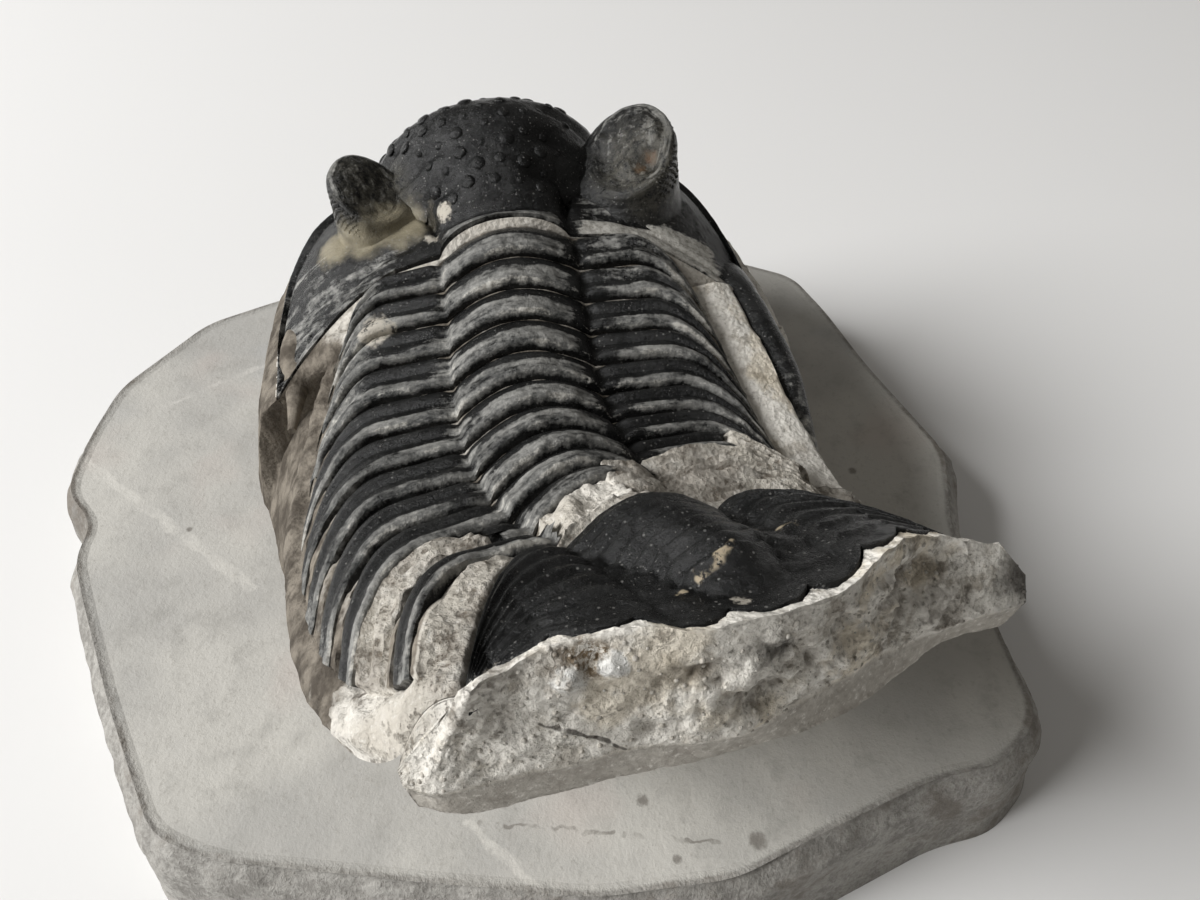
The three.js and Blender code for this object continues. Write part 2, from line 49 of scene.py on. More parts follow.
# %% Sizes shared with the solids
SEGMENTS = 11
BACK = np.array([[0.6, 5.8, 35.3], [2.0, -2.7, 33.8], [3.6, -11.2, 33.6],
                 [6.4, -18.5, 35.3], [10.4, -24.7, 39.0]])
BACK_ROLL = [-3.4, 0.3, 24.0]
AXIS_HALF = (5.5, 5.1)
AXIS_HEIGHT = 2.2
AXIS_ROUND = 0.9
RING_BOW = 0.6
PLEURA_LENGTH = [9.8, 13.4, 11.2]
PLEURA_BEND = 0.4
PLEURA_SLOPES = (math.radians(4.9), math.radians(55))
PLEURA_SWEEP = 1.42
LEDGE_SLOPES = (math.radians(64), math.radians(24))
LEDGE_LEFT = (4.8, 3.4)
LEDGE_RIGHT = 4.2
SHELL = 0.9
UNDER = -1.2
REACH_LEFT = [1.85, 1.9, 1.92, 1.95, 2, 2, 2, 2, 2, 1.15, 2]
REACH_RIGHT = [2, 2, 2, 2, 2, 2, 1.85, 1.52, 0.96, 0.2, -0.94]


# %% [markdown]
# A few helpers do the arithmetic on whole grids of points at once. The noise is a smooth
# lattice noise with a fixed seed, so the stone comes out the same every time.

# %% Arithmetic helpers
def smooth(low, high, value):
    t = np.clip((value - low) / (high - low), 0, 1)
    return t * t * (3 - 2 * t)


def mix(a, b, fraction):
    return a + (b - a) * fraction


def largest(*values):
    return np.max(np.stack(np.broadcast_arrays(*values)), axis=0)


def through(values, fraction):
    values = np.asarray(values, float)
    place = np.asarray(fraction, float) * (len(values) - 1)
    total = 0
    for i, value in enumerate(values):
        weight = np.ones_like(place)
        for j in range(len(values)):
            if j != i:
                weight = weight * (place - j) / (i - j)
        total = total + weight[..., None] * value if value.ndim else total + weight * value
    return total


def lattice(cells, seed):
    mixed = cells[..., 0] * 374761393 + cells[..., 1] * 668265263 + cells[..., 2] * 2147483647
    mixed = (mixed + seed * 974634777) & 0xFFFFFFFF
    mixed = ((mixed ^ (mixed >> 13)) * 1274126177) & 0xFFFFFFFF
    return ((mixed ^ (mixed >> 16)) & 0xFFFFFFFF) / 0xFFFFFFFF


def noise(points, size, seed):
    scaled = np.asarray(points, float) / size
    cells = np.floor(scaled).astype(np.int64)
    inside = scaled - cells
    inside = inside * inside * (3 - 2 * inside)
    total = 0
    for corner in np.ndindex(2, 2, 2):
        step = np.array(corner)
        weight = np.prod(np.where(step == 1, inside, 1 - inside), axis=-1)
        total = total + weight * lattice(cells + step, seed)
    return total * 2 - 1


def rough(points, size, seed, octaves=4, fall=0.5):
    total, weight, whole = 0, 1.0, 0.0
    for octave in range(octaves):
        total = total + weight * noise(points, size / 2 ** octave, seed + octave)
        whole += weight
        weight *= fall
    return total / whole


# %% [markdown]
# Every plate has its own axes: back towards the tail, right, and up. They turn with the
# back line, so a plate can be drawn flat and still lie where the real one lies.

# %% Axes and points of the thorax
def plate_axes(yaw, pitch, roll):
    yaw, pitch, roll = np.broadcast_arrays(yaw, pitch, roll)
    back = np.stack([np.sin(yaw) * np.cos(pitch), -np.cos(yaw) * np.cos(pitch), np.sin(pitch)], -1)
    level = np.stack([np.cos(yaw), np.sin(yaw), np.zeros_like(yaw)], -1)
    upright = np.cross(back, level)
    c, s = np.cos(roll)[..., None], np.sin(roll)[..., None]
    return back, level * c - upright * s, upright * c + level * s


def place(axes, x, y, z):
    origin, back, right, up = axes
    x, y, z = np.broadcast_arrays(x, y, z)
    return origin + right * x[..., None] + back * y[..., None] + up * z[..., None]


def thorax_axes(station):
    fraction = station / SEGMENTS
    run = through(BACK, fraction + 0.001) - through(BACK, fraction - 0.001)
    yaw = np.arctan2(run[..., 0], -run[..., 1])
    pitch = np.arctan2(run[..., 2], np.hypot(run[..., 0], run[..., 1]))
    roll = np.radians(through(BACK_ROLL, fraction))
    return (through(BACK, fraction),) + plate_axes(yaw, pitch, roll)


def thorax_point(station, across, lift):
    """across: 0 is the crest, 1 the furrow beside the axis, 2 the tip, 3 the edge of the stone."""
    station, across, lift = np.broadcast_arrays(np.asarray(station, float), across, lift)
    fraction = station / SEGMENTS
    side, reach = np.sign(across), np.abs(across)
    half = mix(*AXIS_HALF, fraction)
    crest = np.maximum(np.cos(np.minimum(reach, 1) * np.pi / 2), 0) ** AXIS_ROUND
    length = through(PLEURA_LENGTH, fraction)
    along = np.clip(reach - 1, 0, 1)
    inner = np.minimum(along, PLEURA_BEND)
    outer = along - inner
    slope_in, slope_out = PLEURA_SLOPES
    bend = (slope_out - slope_in) / (1 - PLEURA_BEND)
    slope = slope_in + bend * outer
    far = half + np.sin(slope) * lift + length * (
        inner * math.cos(slope_in) + (np.sin(slope) - math.sin(slope_in)) / bend)
    height = np.cos(slope) * lift + length * (
        (np.cos(slope) - math.cos(slope_in)) / bend - inner * math.sin(slope_in))
    beyond = np.maximum(reach - 2, 0) * np.where(side > 0, LEDGE_RIGHT, mix(*LEDGE_LEFT, fraction))
    tilt = np.where(side > 0, LEDGE_SLOPES[1], LEDGE_SLOPES[0])
    far, height = far + beyond * np.cos(tilt), height - beyond * np.sin(tilt)
    in_axis = reach <= 1
    return place(thorax_axes(station),
                 np.where(in_axis, across * half, side * far),
                 np.where(in_axis, -RING_BOW * (1 - reach ** 2), length * PLEURA_SWEEP * outer ** 2),
                 np.where(in_axis, AXIS_HEIGHT * crest + lift, height))


print("neck", thorax_point(0, 0, 0).round(2), "tail end of the thorax", thorax_point(11, 0, 0).round(2))

# %% [markdown]
# One small class gathers grids of points into a mesh. It works in millimetres and turns
# them into Blender's metres at the end. Marks travel with the points as named attributes,
# and the materials read them: how worn the shell is, and where it shows bare stone. Some of
# them also carry painted light and shade.

# %% Gather grids into one mesh
MARKS = ("wear_and_painted_light", "bare_and_sheen", "grain", "across", "behind")


def marks_of(wear_and_painted_light=0.0, bare_and_sheen=0.0, grain=0.0, across=0.0, behind=0.0):
    return np.stack(np.broadcast_arrays(wear_and_painted_light, bare_and_sheen, grain, across, behind), -1).astype(float)


class Skin:
    def __init__(self):
        self.points, self.faces, self.marks, self.paints = [], [], [], []
        self.count = 0

    def add(self, points, faces, marks=0, paint=0):
        points = np.asarray(points, float).reshape(-1, 3)
        marks = np.broadcast_to(np.asarray(marks, float), (len(points), len(MARKS)))
        self.points.append(points)
        self.marks.append(marks)
        self.faces += [[self.count + i for i in face] for face in faces]
        self.paints += [paint] * len(faces)
        self.count += len(points)

    def grid(self, points, marks=0, wrap=False, caps=False, paint=0):
        rows, columns = points.shape[:2]
        i, j = np.meshgrid(np.arange(rows - 1), np.arange(columns if wrap else columns - 1),
                           indexing="ij")
        k = (j + 1) % columns
        quads = np.stack([i * columns + j, i * columns + k,
                          (i + 1) * columns + k, (i + 1) * columns + j], -1).reshape(-1, 4)
        faces = quads.tolist()
        flat = points.reshape(-1, 3)
        marks = np.broadcast_to(np.asarray(marks, float), points.shape[:2] + (len(MARKS),))
        marks = marks.reshape(-1, len(MARKS))
        if caps:
            for row, turn in ((0, 1), (rows - 1, -1)):
                middle = len(flat)
                flat = np.vstack([flat, points[row].mean(axis=0)])
                marks = np.vstack([marks, marks[row * columns:(row + 1) * columns].mean(axis=0)])
                ring = [row * columns + j for j in range(columns)]
                faces += [[middle, ring[(j + 1) % columns], ring[j]][::turn] for j in range(columns)]
        self.add(flat, faces, marks, paint)

    def make(self, name, materials, crease=50):
        mesh = bpy.data.meshes.new(name)
        mesh.from_pydata((np.vstack(self.points) * 0.001).tolist(), [], self.faces)
        marks = np.vstack(self.marks).astype(np.float32)
        for channel, mark in enumerate(MARKS):
            attribute = mesh.attributes.new(mark, "FLOAT", "POINT")
            attribute.data.foreach_set("value", np.ascontiguousarray(marks[:, channel]))
        mesh.polygons.foreach_set("material_index", self.paints)
        tidy(mesh)
        mesh.shade_smooth()
        mesh.set_sharp_from_angle(angle=math.radians(crease))
        for material in materials:
            mesh.materials.append(material)
        piece = bpy.data.objects.new(name, mesh)
        bpy.context.scene.collection.objects.link(piece)
        print(name, "has", sum(len(p.vertices) - 2 for p in mesh.polygons), "triangles")
        return piece


def tidy(mesh):
    work = bmesh.new()
    work.from_mesh(mesh)
    bmesh.ops.remove_doubles(work, verts=work.verts, dist=1e-6)
    bmesh.ops.dissolve_degenerate(work, edges=work.edges, dist=1e-7)
    bmesh.ops.recalc_face_normals(work, faces=work.faces)
    work.to_mesh(mesh)
    work.free()


# %% [markdown]
# Materials are written as sums. A small class wraps a socket, so `1 - mask` and
# `noise * 0.3` become Math nodes, and everything else goes through one method.

# %% Write materials as expressions
class Signal:
    def __init__(self, paint, socket):
        self.paint, self.socket = paint, socket

    def maths(self, operation, *values):
        return self.paint.add("ShaderNodeMath", "Value", {"operation": operation},
                              dict(enumerate(values)))

    def __add__(self, other):
        return self.maths("ADD", self, other)

    def __mul__(self, other):
        return self.maths("MULTIPLY", self, other)

    def __sub__(self, other):
        return self.maths("SUBTRACT", self, other)

    def __rsub__(self, other):
        return self.maths("SUBTRACT", other, self)

    __radd__, __rmul__ = __add__, __mul__

    def clamp(self):
        return self.paint.add("ShaderNodeClamp", "Result", {}, {"Value": self})


class Paint:
    def __init__(self, name):
        self.material = bpy.data.materials.new(name)
        self.material.use_nodes = True
        self.tree = self.material.node_tree
        self.shader = self.tree.nodes["Principled BSDF"]
        self.where = self.vector("SCALE", v0=self.add("ShaderNodeTexCoord", "Object"), Scale=1000.0)

    def connect(self, socket, value):
        if isinstance(value, Signal):
            self.tree.links.new(value.socket, socket)
        else:
            socket.default_value = value

    def add(self, kind, output, settings=None, sockets=None):
        node = self.tree.nodes.new(kind)
        for key, value in (settings or {}).items():
            setattr(node, key, value)
        for key, value in (sockets or {}).items():
            self.connect(node.inputs[key], value)
        return Signal(self, node.outputs[output])

    def cloud(self, size, detail=4.0, harshness=0.55, where=None, stretch=None):
        where = where or self.where
        if stretch:
            where = self.vector("MULTIPLY", v0=where, v1=stretch)
        return self.add("ShaderNodeTexNoise", "Fac", {}, {
            "Vector": where, "Scale": 1.0 / size, "Detail": detail, "Roughness": harshness})

    def cells(self, size, feature="F1"):
        return self.add("ShaderNodeTexVoronoi", "Distance", {"feature": feature},
                        {"Vector": self.where, "Scale": 1.0 / size})

    def mark(self, name):
        return self.add("ShaderNodeAttribute", "Fac", {"attribute_name": name})

    def mask(self, value, low, high):
        return self.add("ShaderNodeMapRange", "Result", {"interpolation_type": "SMOOTHSTEP"},
                        {"Value": value, "From Min": low, "From Max": high})

    def blend(self, factor, first, second):
        return self.add("ShaderNodeMix", 2, {"data_type": "RGBA"},
                        {0: factor, 6: colour(first), 7: colour(second)})

    def vector(self, operation, output="Vector", **sockets):
        sockets = {int(key[1:]) if key[0] == "v" else key: value for key, value in sockets.items()}
        return self.add("ShaderNodeVectorMath", output, {"operation": operation}, sockets)

    def spot(self, centre, radius, soft=0.2):
        away = self.vector("DISTANCE", "Value", v0=self.where, v1=centre)
        away = away + (self.cloud(radius * 0.7) - 0.5) * (radius * 1.3)
        return 1 - self.mask(away, radius * (1 - soft), radius * (1 + soft))

    def line(self, start, end, width, wander=0.8):
        """Close to the straight line between two points, bent by noise."""
        run = [b - a for a, b in zip(start, end)]
        bent = self.add("ShaderNodeTexNoise", "Color", {}, {"Vector": self.where, "Scale": 0.6})
        bent = self.vector("SCALE", v0=self.vector("SUBTRACT", v0=bent, v1=(0.5, 0.5, 0.5)),
                           Scale=wander * 2)
        spot = self.vector("SUBTRACT", v0=self.vector("ADD", v0=self.where, v1=bent), v1=start)
        share = self.vector("DOT_PRODUCT", "Value", v0=spot, v1=run) * (1 / sum(r * r for r in run))
        nearest = self.vector("SCALE", v0=run, Scale=share.clamp())
        away = self.vector("DISTANCE", "Value", v0=spot, v1=nearest)
        return 1 - self.mask(away, width * 0.5, width)

    def finish(self, base, roughness, height, depth, **fixed):
        bump = self.add("ShaderNodeBump", "Normal", {},
                        {"Height": height, "Distance": depth * 0.001, "Strength": 1.0})
        self.connect(self.shader.inputs["Base Color"], base)
        self.connect(self.shader.inputs["Roughness"], roughness)
        self.connect(self.shader.inputs["Normal"], bump)
        for name, value in fixed.items():
            self.shader.inputs[name.replace("_", " ")].default_value = value
        return self.material


def colour(value):
    return value if isinstance(value, Signal) else (*value, 1.0)


# %% [markdown]
# The fossil shell is black calcite with a satin shine. Preparation tools have worn it grey
# and mottled on the high bands, and pale stone is left in scratches and cracks. The marks
# say roughly where. The mottling is stretched along the bands, as scraping left it. The same
# marks also carry painted light: a paler sheen at the left ends of the axial rings and on the
# eye rims, and painted shade that keeps the right ends of the rings black.

# %% Finish of the shell
CRACK = [(12.0, -32.7, 45.4), (13.8, -31.4, 46.0), (14.5, -30.6, 46.1), (16.0, -26.7, 41.7),
         (18.3, -26.8, 42.4)]
RESIDUES = [((14.6, -33.9, 46.1), 0.45), ((3.8, -37.4, 45.8), 0.6), ((-4.6, 8.6, 36.6), 0.85),
            ((-5.6, 7.4, 35.0), 0.6), ((-9.2, -1.6, 32.9), 1.4)]
OLIVE = [((-8.2, 9.2, 34.9), 2.0), (((-11.2, 9.0, 34.0)), 2.0), ((-14.3, 8.9, 32.7), 1.6)]
AMBER = [((12.4, 13.7, 38.3), 0.6), ((11.6, 13.2, 37.5), 0.5)]


def shell_finish():
    paint = Paint("fossil_shell")
    flow = paint.add("ShaderNodeCombineXYZ", "Vector", {}, {
        "X": paint.mark("across") * 0.32, "Y": paint.mark("behind") * 1.5})
    streak = paint.cloud(1.25, 6, 0.62, where=flow)
    blotch = paint.cloud(3.2, 3)
    fine = paint.cloud(0.55, 8, 0.75)
    grit = paint.cloud(0.14, 3)
    black = paint.blend(paint.mask(blotch * 0.5 + fine * 0.5, 0.40, 0.62), (0.0040, 0.0042, 0.0042), (0.019, 0.0193, 0.0190))
    mottle = streak * 0.5 + fine * 0.5
    grey = paint.blend(paint.mask(mottle, 0.36, 0.68), (0.044, 0.045, 0.043), (0.33, 0.325, 0.305))
    stone = paint.blend(paint.mask(fine, 0.35, 0.65), (0.22, 0.208, 0.182), (0.50, 0.485, 0.445))
    edge = (streak - 0.5) * 1.9 + (fine - 0.5) * 1.1
    wear_and_painted_light = paint.mask(paint.mark("wear_and_painted_light") + edge, 0.38, 0.82)
    bare_and_sheen = paint.mask(paint.mark("bare_and_sheen") + edge, 0.5, 0.72)
    base = paint.blend(wear_and_painted_light, black, grey)
    base = paint.blend(bare_and_sheen, base, stone)
    for centre, radius in OLIVE:
        base = paint.blend(paint.spot(centre, radius, 0.5) * 0.85, base, (0.30, 0.265, 0.185))
    for centre, radius in RESIDUES:
        base = paint.blend(paint.spot(centre, radius) * paint.mask(fine, 0.38, 0.52) * 0.9, base, (0.52, 0.48, 0.41))
    for centre, radius in AMBER:
        base = paint.blend(paint.spot(centre, radius, 0.5) * 0.8, base, (0.14, 0.078, 0.04))
    for start, end in zip(CRACK, CRACK[1:]):
        base = paint.blend(paint.line(start, end, 0.30) * paint.mask(fine, 0.44, 0.54), base, (0.36, 0.30, 0.21))
    speck = paint.mask(paint.cells(0.55), 0.18, 0.07) + paint.mask(paint.cells(0.31), 0.16, 0.06)
    base = paint.blend(speck.clamp() * paint.mask(streak, 0.38, 0.52) * 0.55, base, (0.26, 0.255, 0.24))
    dim = paint.spot((12.6, 13.2, 38.4), 4.4, 0.5) + paint.spot((-11.2, 12.0, 35.6), 3.4, 0.5)
    base = paint.blend(dim.clamp() * paint.mask(fine, 0.35, 0.6) * 0.6, base, (0.105, 0.098, 0.078))
    shine = (0.20 + wear_and_painted_light * 0.34 + bare_and_sheen * 0.3 + (grit - 0.5) * 0.4).clamp()
    height = fine * 0.6 + streak * 0.5 + grit * 0.3
    return paint.finish(base, shine, height, 0.20, Specular_IOR_Level=0.29)


shell_material = shell_finish()
print("finish", shell_material.name)

# %% [markdown]
# The limestone has three looks: granular beige where it was broken, a smoother taupe face
# under the edge of the tongue, and the pale slab with clouds, veins and dark spots. Its
# grains show as small pits and lumps, so the height mixes clouds with cells. The right ledge
# is painted lighter where it tilts from the lamp, the tongue's wall is paler stone with
# painted light added towards its right, and the joints between plates are painted dark as shade.

# %% Finish of the limestone
CHIPS = [(6.9, -37.0, 45.6), (8.8, -36.6, 45.9)]
CAVITY = (7.9, -36.4, 46.2)


def stone_finish():
    paint = Paint("limestone_rough")
    broad = paint.cloud(7.0, 4)
    medium = paint.cloud(1.7, 6, 0.66)
    fine = paint.cloud(0.38, 5, 0.72)
    grains = paint.cells(0.42)
    grain, wear_and_painted_light = paint.mark("grain"), paint.mark("wear_and_painted_light")
    beige = paint.blend(paint.mask(broad, 0.35, 0.65), (0.58, 0.540, 0.470), (0.78, 0.748, 0.685))
    taupe = paint.blend(paint.mask(medium, 0.35, 0.65), (0.36, 0.332, 0.292), (0.50, 0.472, 0.422))
    base = paint.blend(paint.mask(grain, 0.2, 0.6), taupe, beige)
    base = paint.blend(paint.mask(fine, 0.46, 0.30) * 0.7, base, (0.82, 0.795, 0.74))
    # Paler stone on the tongue's wall, with painted light on the right ledge and on the wall's right part, which
    # turn from the lamp.
    pale_and_lit = paint.mark("across")
    base = paint.blend(pale_and_lit * paint.mask(medium, 0.30, 0.50) * 0.85, base, (0.95, 0.915, 0.84))
    cream = paint.mask(paint.cloud(5.0, 4, 0.6), 0.50, 0.62)
    base = paint.blend(pale_and_lit * cream * 0.4, base, (0.80, 0.67, 0.46))
    hollows = paint.mask(paint.cloud(2.9, 5, 0.72), 0.53, 0.64)
    base = paint.blend(pale_and_lit * hollows * 0.5, base, (0.27, 0.225, 0.165))
    sunk = paint.mark("behind") * paint.mask(medium, 0.62, 0.40)
    base = paint.blend(sunk * 0.75, base, (0.15, 0.12, 0.088))
    pits = paint.mask(fine * 0.55 + medium * 0.45, 0.53, 0.62)
    base = paint.blend(pits * (0.2 + grain * 0.48) * (pale_and_lit * -0.35 + 1.0), base, (0.14, 0.115, 0.086))
    stain = paint.mask(medium * 0.45 + broad * 0.55 + paint.mark("bare_and_sheen") * 0.12, 0.56, 0.68)
    base = paint.blend(stain * 0.55, base, (0.17, 0.132, 0.092))
    streaks = paint.cloud(1.6, 5, 0.6, stretch=(1.0, 1.0, 0.16))
    brown = paint.blend(paint.mask(streaks, 0.35, 0.65), (0.080, 0.067, 0.053), (0.25, 0.22, 0.18))
    base = paint.blend(paint.mask(wear_and_painted_light + (medium - 0.5) * 1.0, 0.25, 0.6), base, brown)
    for centre, radius in (((32.3, -27.3, 38.2), 2.0), ((15.7, -35.0, 45.0), 1.1)):
        base = paint.blend(paint.spot(centre, radius, 0.5) * 0.85, base, (0.055, 0.048, 0.040))
    base = paint.blend(paint.spot(CAVITY, 1.1, 0.5) * paint.mask(fine, 0.40, 0.55), base, (0.20, 0.145, 0.085))
    for chip in CHIPS:
        base = paint.blend(paint.spot(chip, 0.75), base, (0.86, 0.85, 0.81))
    for start, end in (((4.9, -38.1, 43.7), (8.0, -38.3, 42.0)), ((8.0, -38.3, 42.0), (9.4, -38.4, 40.9))):
        base = paint.blend(paint.line(start, end, 0.16, 0.5) * 0.8, base, (0.05, 0.04, 0.03))
    height = medium * 0.9 + fine * 0.6 + grains * 0.35 - pits * 0.25
    shown = 0.25 + grain * 0.75
    return paint.finish(base, 0.92, height * shown, 0.62, Specular_IOR_Level=0.25)


SLAB_LINES = [((-43.7, 4.0, 11.0), (-22.7, -11.3, 11.0), 0.7, (0.66, 0.64, 0.59)),
              ((-0.7, -31.8, 11.0), (17.3, -33.3, 11.0), 0.22, (0.13, 0.115, 0.095)),
              ((-1.5, -31.8, 11.0), (4.5, -37.0, 11.0), 0.5, (0.66, 0.64, 0.59)),
              ((-38.0, 10.0, 11.0), (-20.0, 22.0, 11.0), 0.4, (0.63, 0.61, 0.57))]
SLAB_CHIP = ((-41.4, -5.6, 11.0), 1.0)
SLAB_SPOTS = [((11.5, -30.1, 11.0), 0.55), ((13.9, -34.4, 11.0), 0.4), ((19.9, -33.1, 11.0), 0.8),
              ((-30.0, -5.0, 11.0), 0.35), ((33.0, 2.0, 11.0), 0.5)]


def slab_finish():
    paint = Paint("limestone_slab")
    broad = paint.cloud(16.0, 3)
    medium = paint.cloud(2.6, 7, 0.66)
    fine = paint.cloud(0.45, 5, 0.7)
    base = paint.blend(paint.mask(broad, 0.35, 0.65), (0.42, 0.41, 0.385), (0.53, 0.515, 0.475))
    base = paint.blend(paint.mask(medium, 0.48, 0.75) * 0.55, base, (0.33, 0.32, 0.295))
    base = paint.blend(paint.mask(fine, 0.55, 0.7) * 0.3, base, (0.25, 0.23, 0.20))
    base = paint.blend(paint.mask(paint.cloud(11.0, 2), 0.55, 0.75) * 0.3, base, (0.50, 0.42, 0.38))
    base = paint.blend(paint.mask(paint.cloud(13.0, 2), 0.42, 0.25) * 0.3, base, (0.36, 0.385, 0.42))
    for start, end, width, tint in SLAB_LINES:
        base = paint.blend(paint.line(start, end, width) * paint.mask(medium, 0.35, 0.6) * 0.6, base, tint)
    for centre, radius in SLAB_SPOTS:
        base = paint.blend(paint.spot(centre, radius * 0.75, 0.5) * 0.6, base, (0.075, 0.058, 0.044))
    base = paint.blend(paint.spot(*SLAB_CHIP) * 0.8, base, (0.80, 0.78, 0.73))
    side = paint.mark("grain")
    rust = paint.mask(broad * 0.5 + medium * 0.5, 0.50, 0.62)
    dark = paint.blend(paint.mask(fine * 0.4 + medium * 0.6, 0.40, 0.58), (0.25, 0.238, 0.218), (0.43, 0.415, 0.385))
    dark = paint.blend(rust * 0.7, dark, (0.13, 0.108, 0.085))
    base = paint.blend(paint.mask(side + (medium - 0.5) * 0.7, 0.35, 0.75), base, dark)
    height = medium * 0.55 + fine * 0.4
    return paint.finish(base, 0.85, height * (0.35 + side * 0.9), 0.5, Specular_IOR_Level=0.3)


stone_material = stone_finish()
slab_material = slab_finish()
print("finishes", stone_material.name, slab_material.name)

# %% [markdown]
# A thoracic plate is a closed loft: its section runs from the front edge over the ring to
# the rear edge and back underneath. The front of each ring stayed dark; the raised rear
# was worn grey. Broken plates end in a ragged line instead of a clean cut.

# %% The eleven plates of the thorax
SECTION = np.concatenate([[0, 0.025, 0.06], np.linspace(0.1, 0.9, 23), [0.94, 0.975, 1]])
BELOW = np.array([1, 0.66, 0.33, 0])
LIFT_PLACES = [0, 0.06, 0.14, 0.25, 0.36, 0.5, 0.64, 0.76, 0.88, 0.94, 1]
RING_LIFT = [-0.62, -0.46, -0.26, -0.08, 0.06, 0.17, 0.25, 0.31, 0.32, 0.26, 0.02]
PLEURA_LIFT = [-0.52, -0.32, -0.02, 0.14, 0.12, -0.12, 0.03, 0.22, 0.25, 0.16, -0.06]
PLATE_INSET = 0.045
TIP_TAPER = 0.35
SEGMENT_LENGTH = 3.1
AXIS_WIDTH, PLEURA_WIDTH = 5.3, 12.0


def plate_wear_and_painted_light(index, p, across, flat):
    reach = np.abs(across)
    drift = rough(flat, 4.0, 21, 3)
    ring = smooth(0.36, 0.56, p + 0.16 * drift) * (0.8 + 0.4 * drift)
    # The right ends of the axial rings are kept black, partly unworn shell and partly painted shade on the side
    # turned from the light. The left ends are paler, partly wear and partly a painted reflection of the light from
    # the left.
    right_end_black_and_shaded = np.exp(-((across - 0.98) / 0.14) ** 2)
    left_end_wear_and_sheen = np.exp(-((across + 0.95) / 0.16) ** 2) * smooth(0.15, 0.4, p)
    ring = np.maximum(ring * (1 - right_end_black_and_shaded), 0.8 * left_end_wear_and_sheen)
    right = smooth(0.62, 0.80, p + 0.22 * drift) * 0.8
    right = np.maximum(right, (1 - smooth(1.2, 2.2, index + p)) * (0.55 + 0.3 * drift))
    left = smooth(0.66, 0.84, p + 0.25 * drift) * 0.85
    upper_left = (1 - smooth(3.2, 5.0, index + p)) * smooth(-1.36, -1.62, across)
    left = np.maximum(left, upper_left * (0.85 + 0.4 * drift))
    left = np.maximum(left, smooth(-1.75, -1.98, across) * (0.5 + 0.5 * drift))
    wear_and_painted_light = np.where(reach < 1, ring, np.where(across > 0, right, left))
    wear_and_painted_light = np.maximum(wear_and_painted_light, 0.75 * left_end_wear_and_sheen)
    line = smooth(0.84, 0.93, p) * (0.47 + 0.3 * drift)
    bare_and_sheen = largest(line, upper_left * 0.40, left_end_wear_and_sheen * 0.42) + 0.12 * drift
    return wear_and_painted_light * (1 - 0.8 * right_end_black_and_shaded), bare_and_sheen


def plate(index):
    left, right = REACH_LEFT[index], REACH_RIGHT[index]
    spread = np.linspace(0, 1, int(50 * (left + right)) + 10)[:, None]
    p = np.concatenate([SECTION, BELOW])[None, :]
    upper = np.arange(p.shape[1])[None, :] < len(SECTION)
    ragged = 0.05 * np.sin(p * 9 + index) + 0.03 * np.sin(p * 23 + 2 * index)
    start = -left - (ragged if left != 2 else 0)
    end = right + (ragged if right != 2 else 0)
    across = start + (end - start) * spread
    reach = np.abs(across)
    tip = smooth(1.55, 2, reach)
    half = (0.5 - PLATE_INSET) * (1 - TIP_TAPER * tip)
    station = index + 0.5 + half * (2 * p - 1)
    in_axis = 1 - smooth(0.94, 1.06, reach)
    lift = mix(np.interp(p, LIFT_PLACES, PLEURA_LIFT), np.interp(p, LIFT_PLACES, RING_LIFT), in_axis)
    lift = lift * (1 - 0.6 * tip) - 0.3 * np.exp(-((reach - 1) / 0.05) ** 2)
    flat = thorax_point(station, across, 0)
    wear_and_painted_light, bare_and_sheen = plate_wear_and_painted_light(index, p, across, flat)
    chew = rough(flat, 1.3, 11, 5, 0.6) * (0.06 + 0.20 * np.clip(wear_and_painted_light, 0, 1)) - 0.06 * wear_and_painted_light
    points = thorax_point(station, across, np.where(upper, lift + chew, -SHELL))
    wide = np.sign(across) * (np.minimum(reach, 1) * AXIS_WIDTH + np.maximum(reach - 1, 0) * PLEURA_WIDTH)
    marks = marks_of(wear_and_painted_light * upper, bare_and_sheen * upper, 0.0, wide, station * SEGMENT_LENGTH)
    return points, marks


def thorax_plates():
    plates = []
    for index in range(SEGMENTS):
        node = "thoracic_segment_%02d" % (index + 1)
        skin = Skin()
        points, marks = plate(index)
        skin.grid(points, marks, wrap=True, caps=True)
        piece = skin.make("shell_" + node, [shell_material])
        plates.append((piece, node))
    return plates


plates = thorax_plates()
print(len(plates), "plates")

# %% [markdown]
# The head shield is one plate of shell: a vaulted cheek on each side and the swollen
# glabella in the middle, with paired furrows cut into its flanks. Its height is a sum of
# simple rules, the same as in the solids, and finer relief is added on top.

# %% Shape of the head shield
HEAD_HALF = 20.5
HEAD_LENGTH = 21.5
HEAD_SIDE_DROP = 7.6
HEAD_FRONT_DROP = 9.0
GLABELLA_HALF = (5.3, 10.9)
GLABELLA_HEIGHT = (2.3, 7.7)
GLABELLA_FURROWS = (5.6, 8.8, 12.0)
CHEEK_BEND, CHEEK_SWEEP = 9.4, 4.5
HEAD = (thorax_axes(0.0)[0],) + plate_axes(math.radians(11), 0.0, math.radians(-3))


def glabella_half(forward):
    return mix(*GLABELLA_HALF, smooth(3, 15.5, forward))


def side_furrows(inside, forward):
    reach = smooth(0.35, 0.7, inside) * (1 - smooth(0.9, 1, inside))
    depth = 0
    for spot in GLABELLA_FURROWS:
        depth = depth + reach * (1 - smooth(0, 1.2, np.abs(forward - spot - 1.6 * (inside - 0.7))))
    return 0.75 * depth


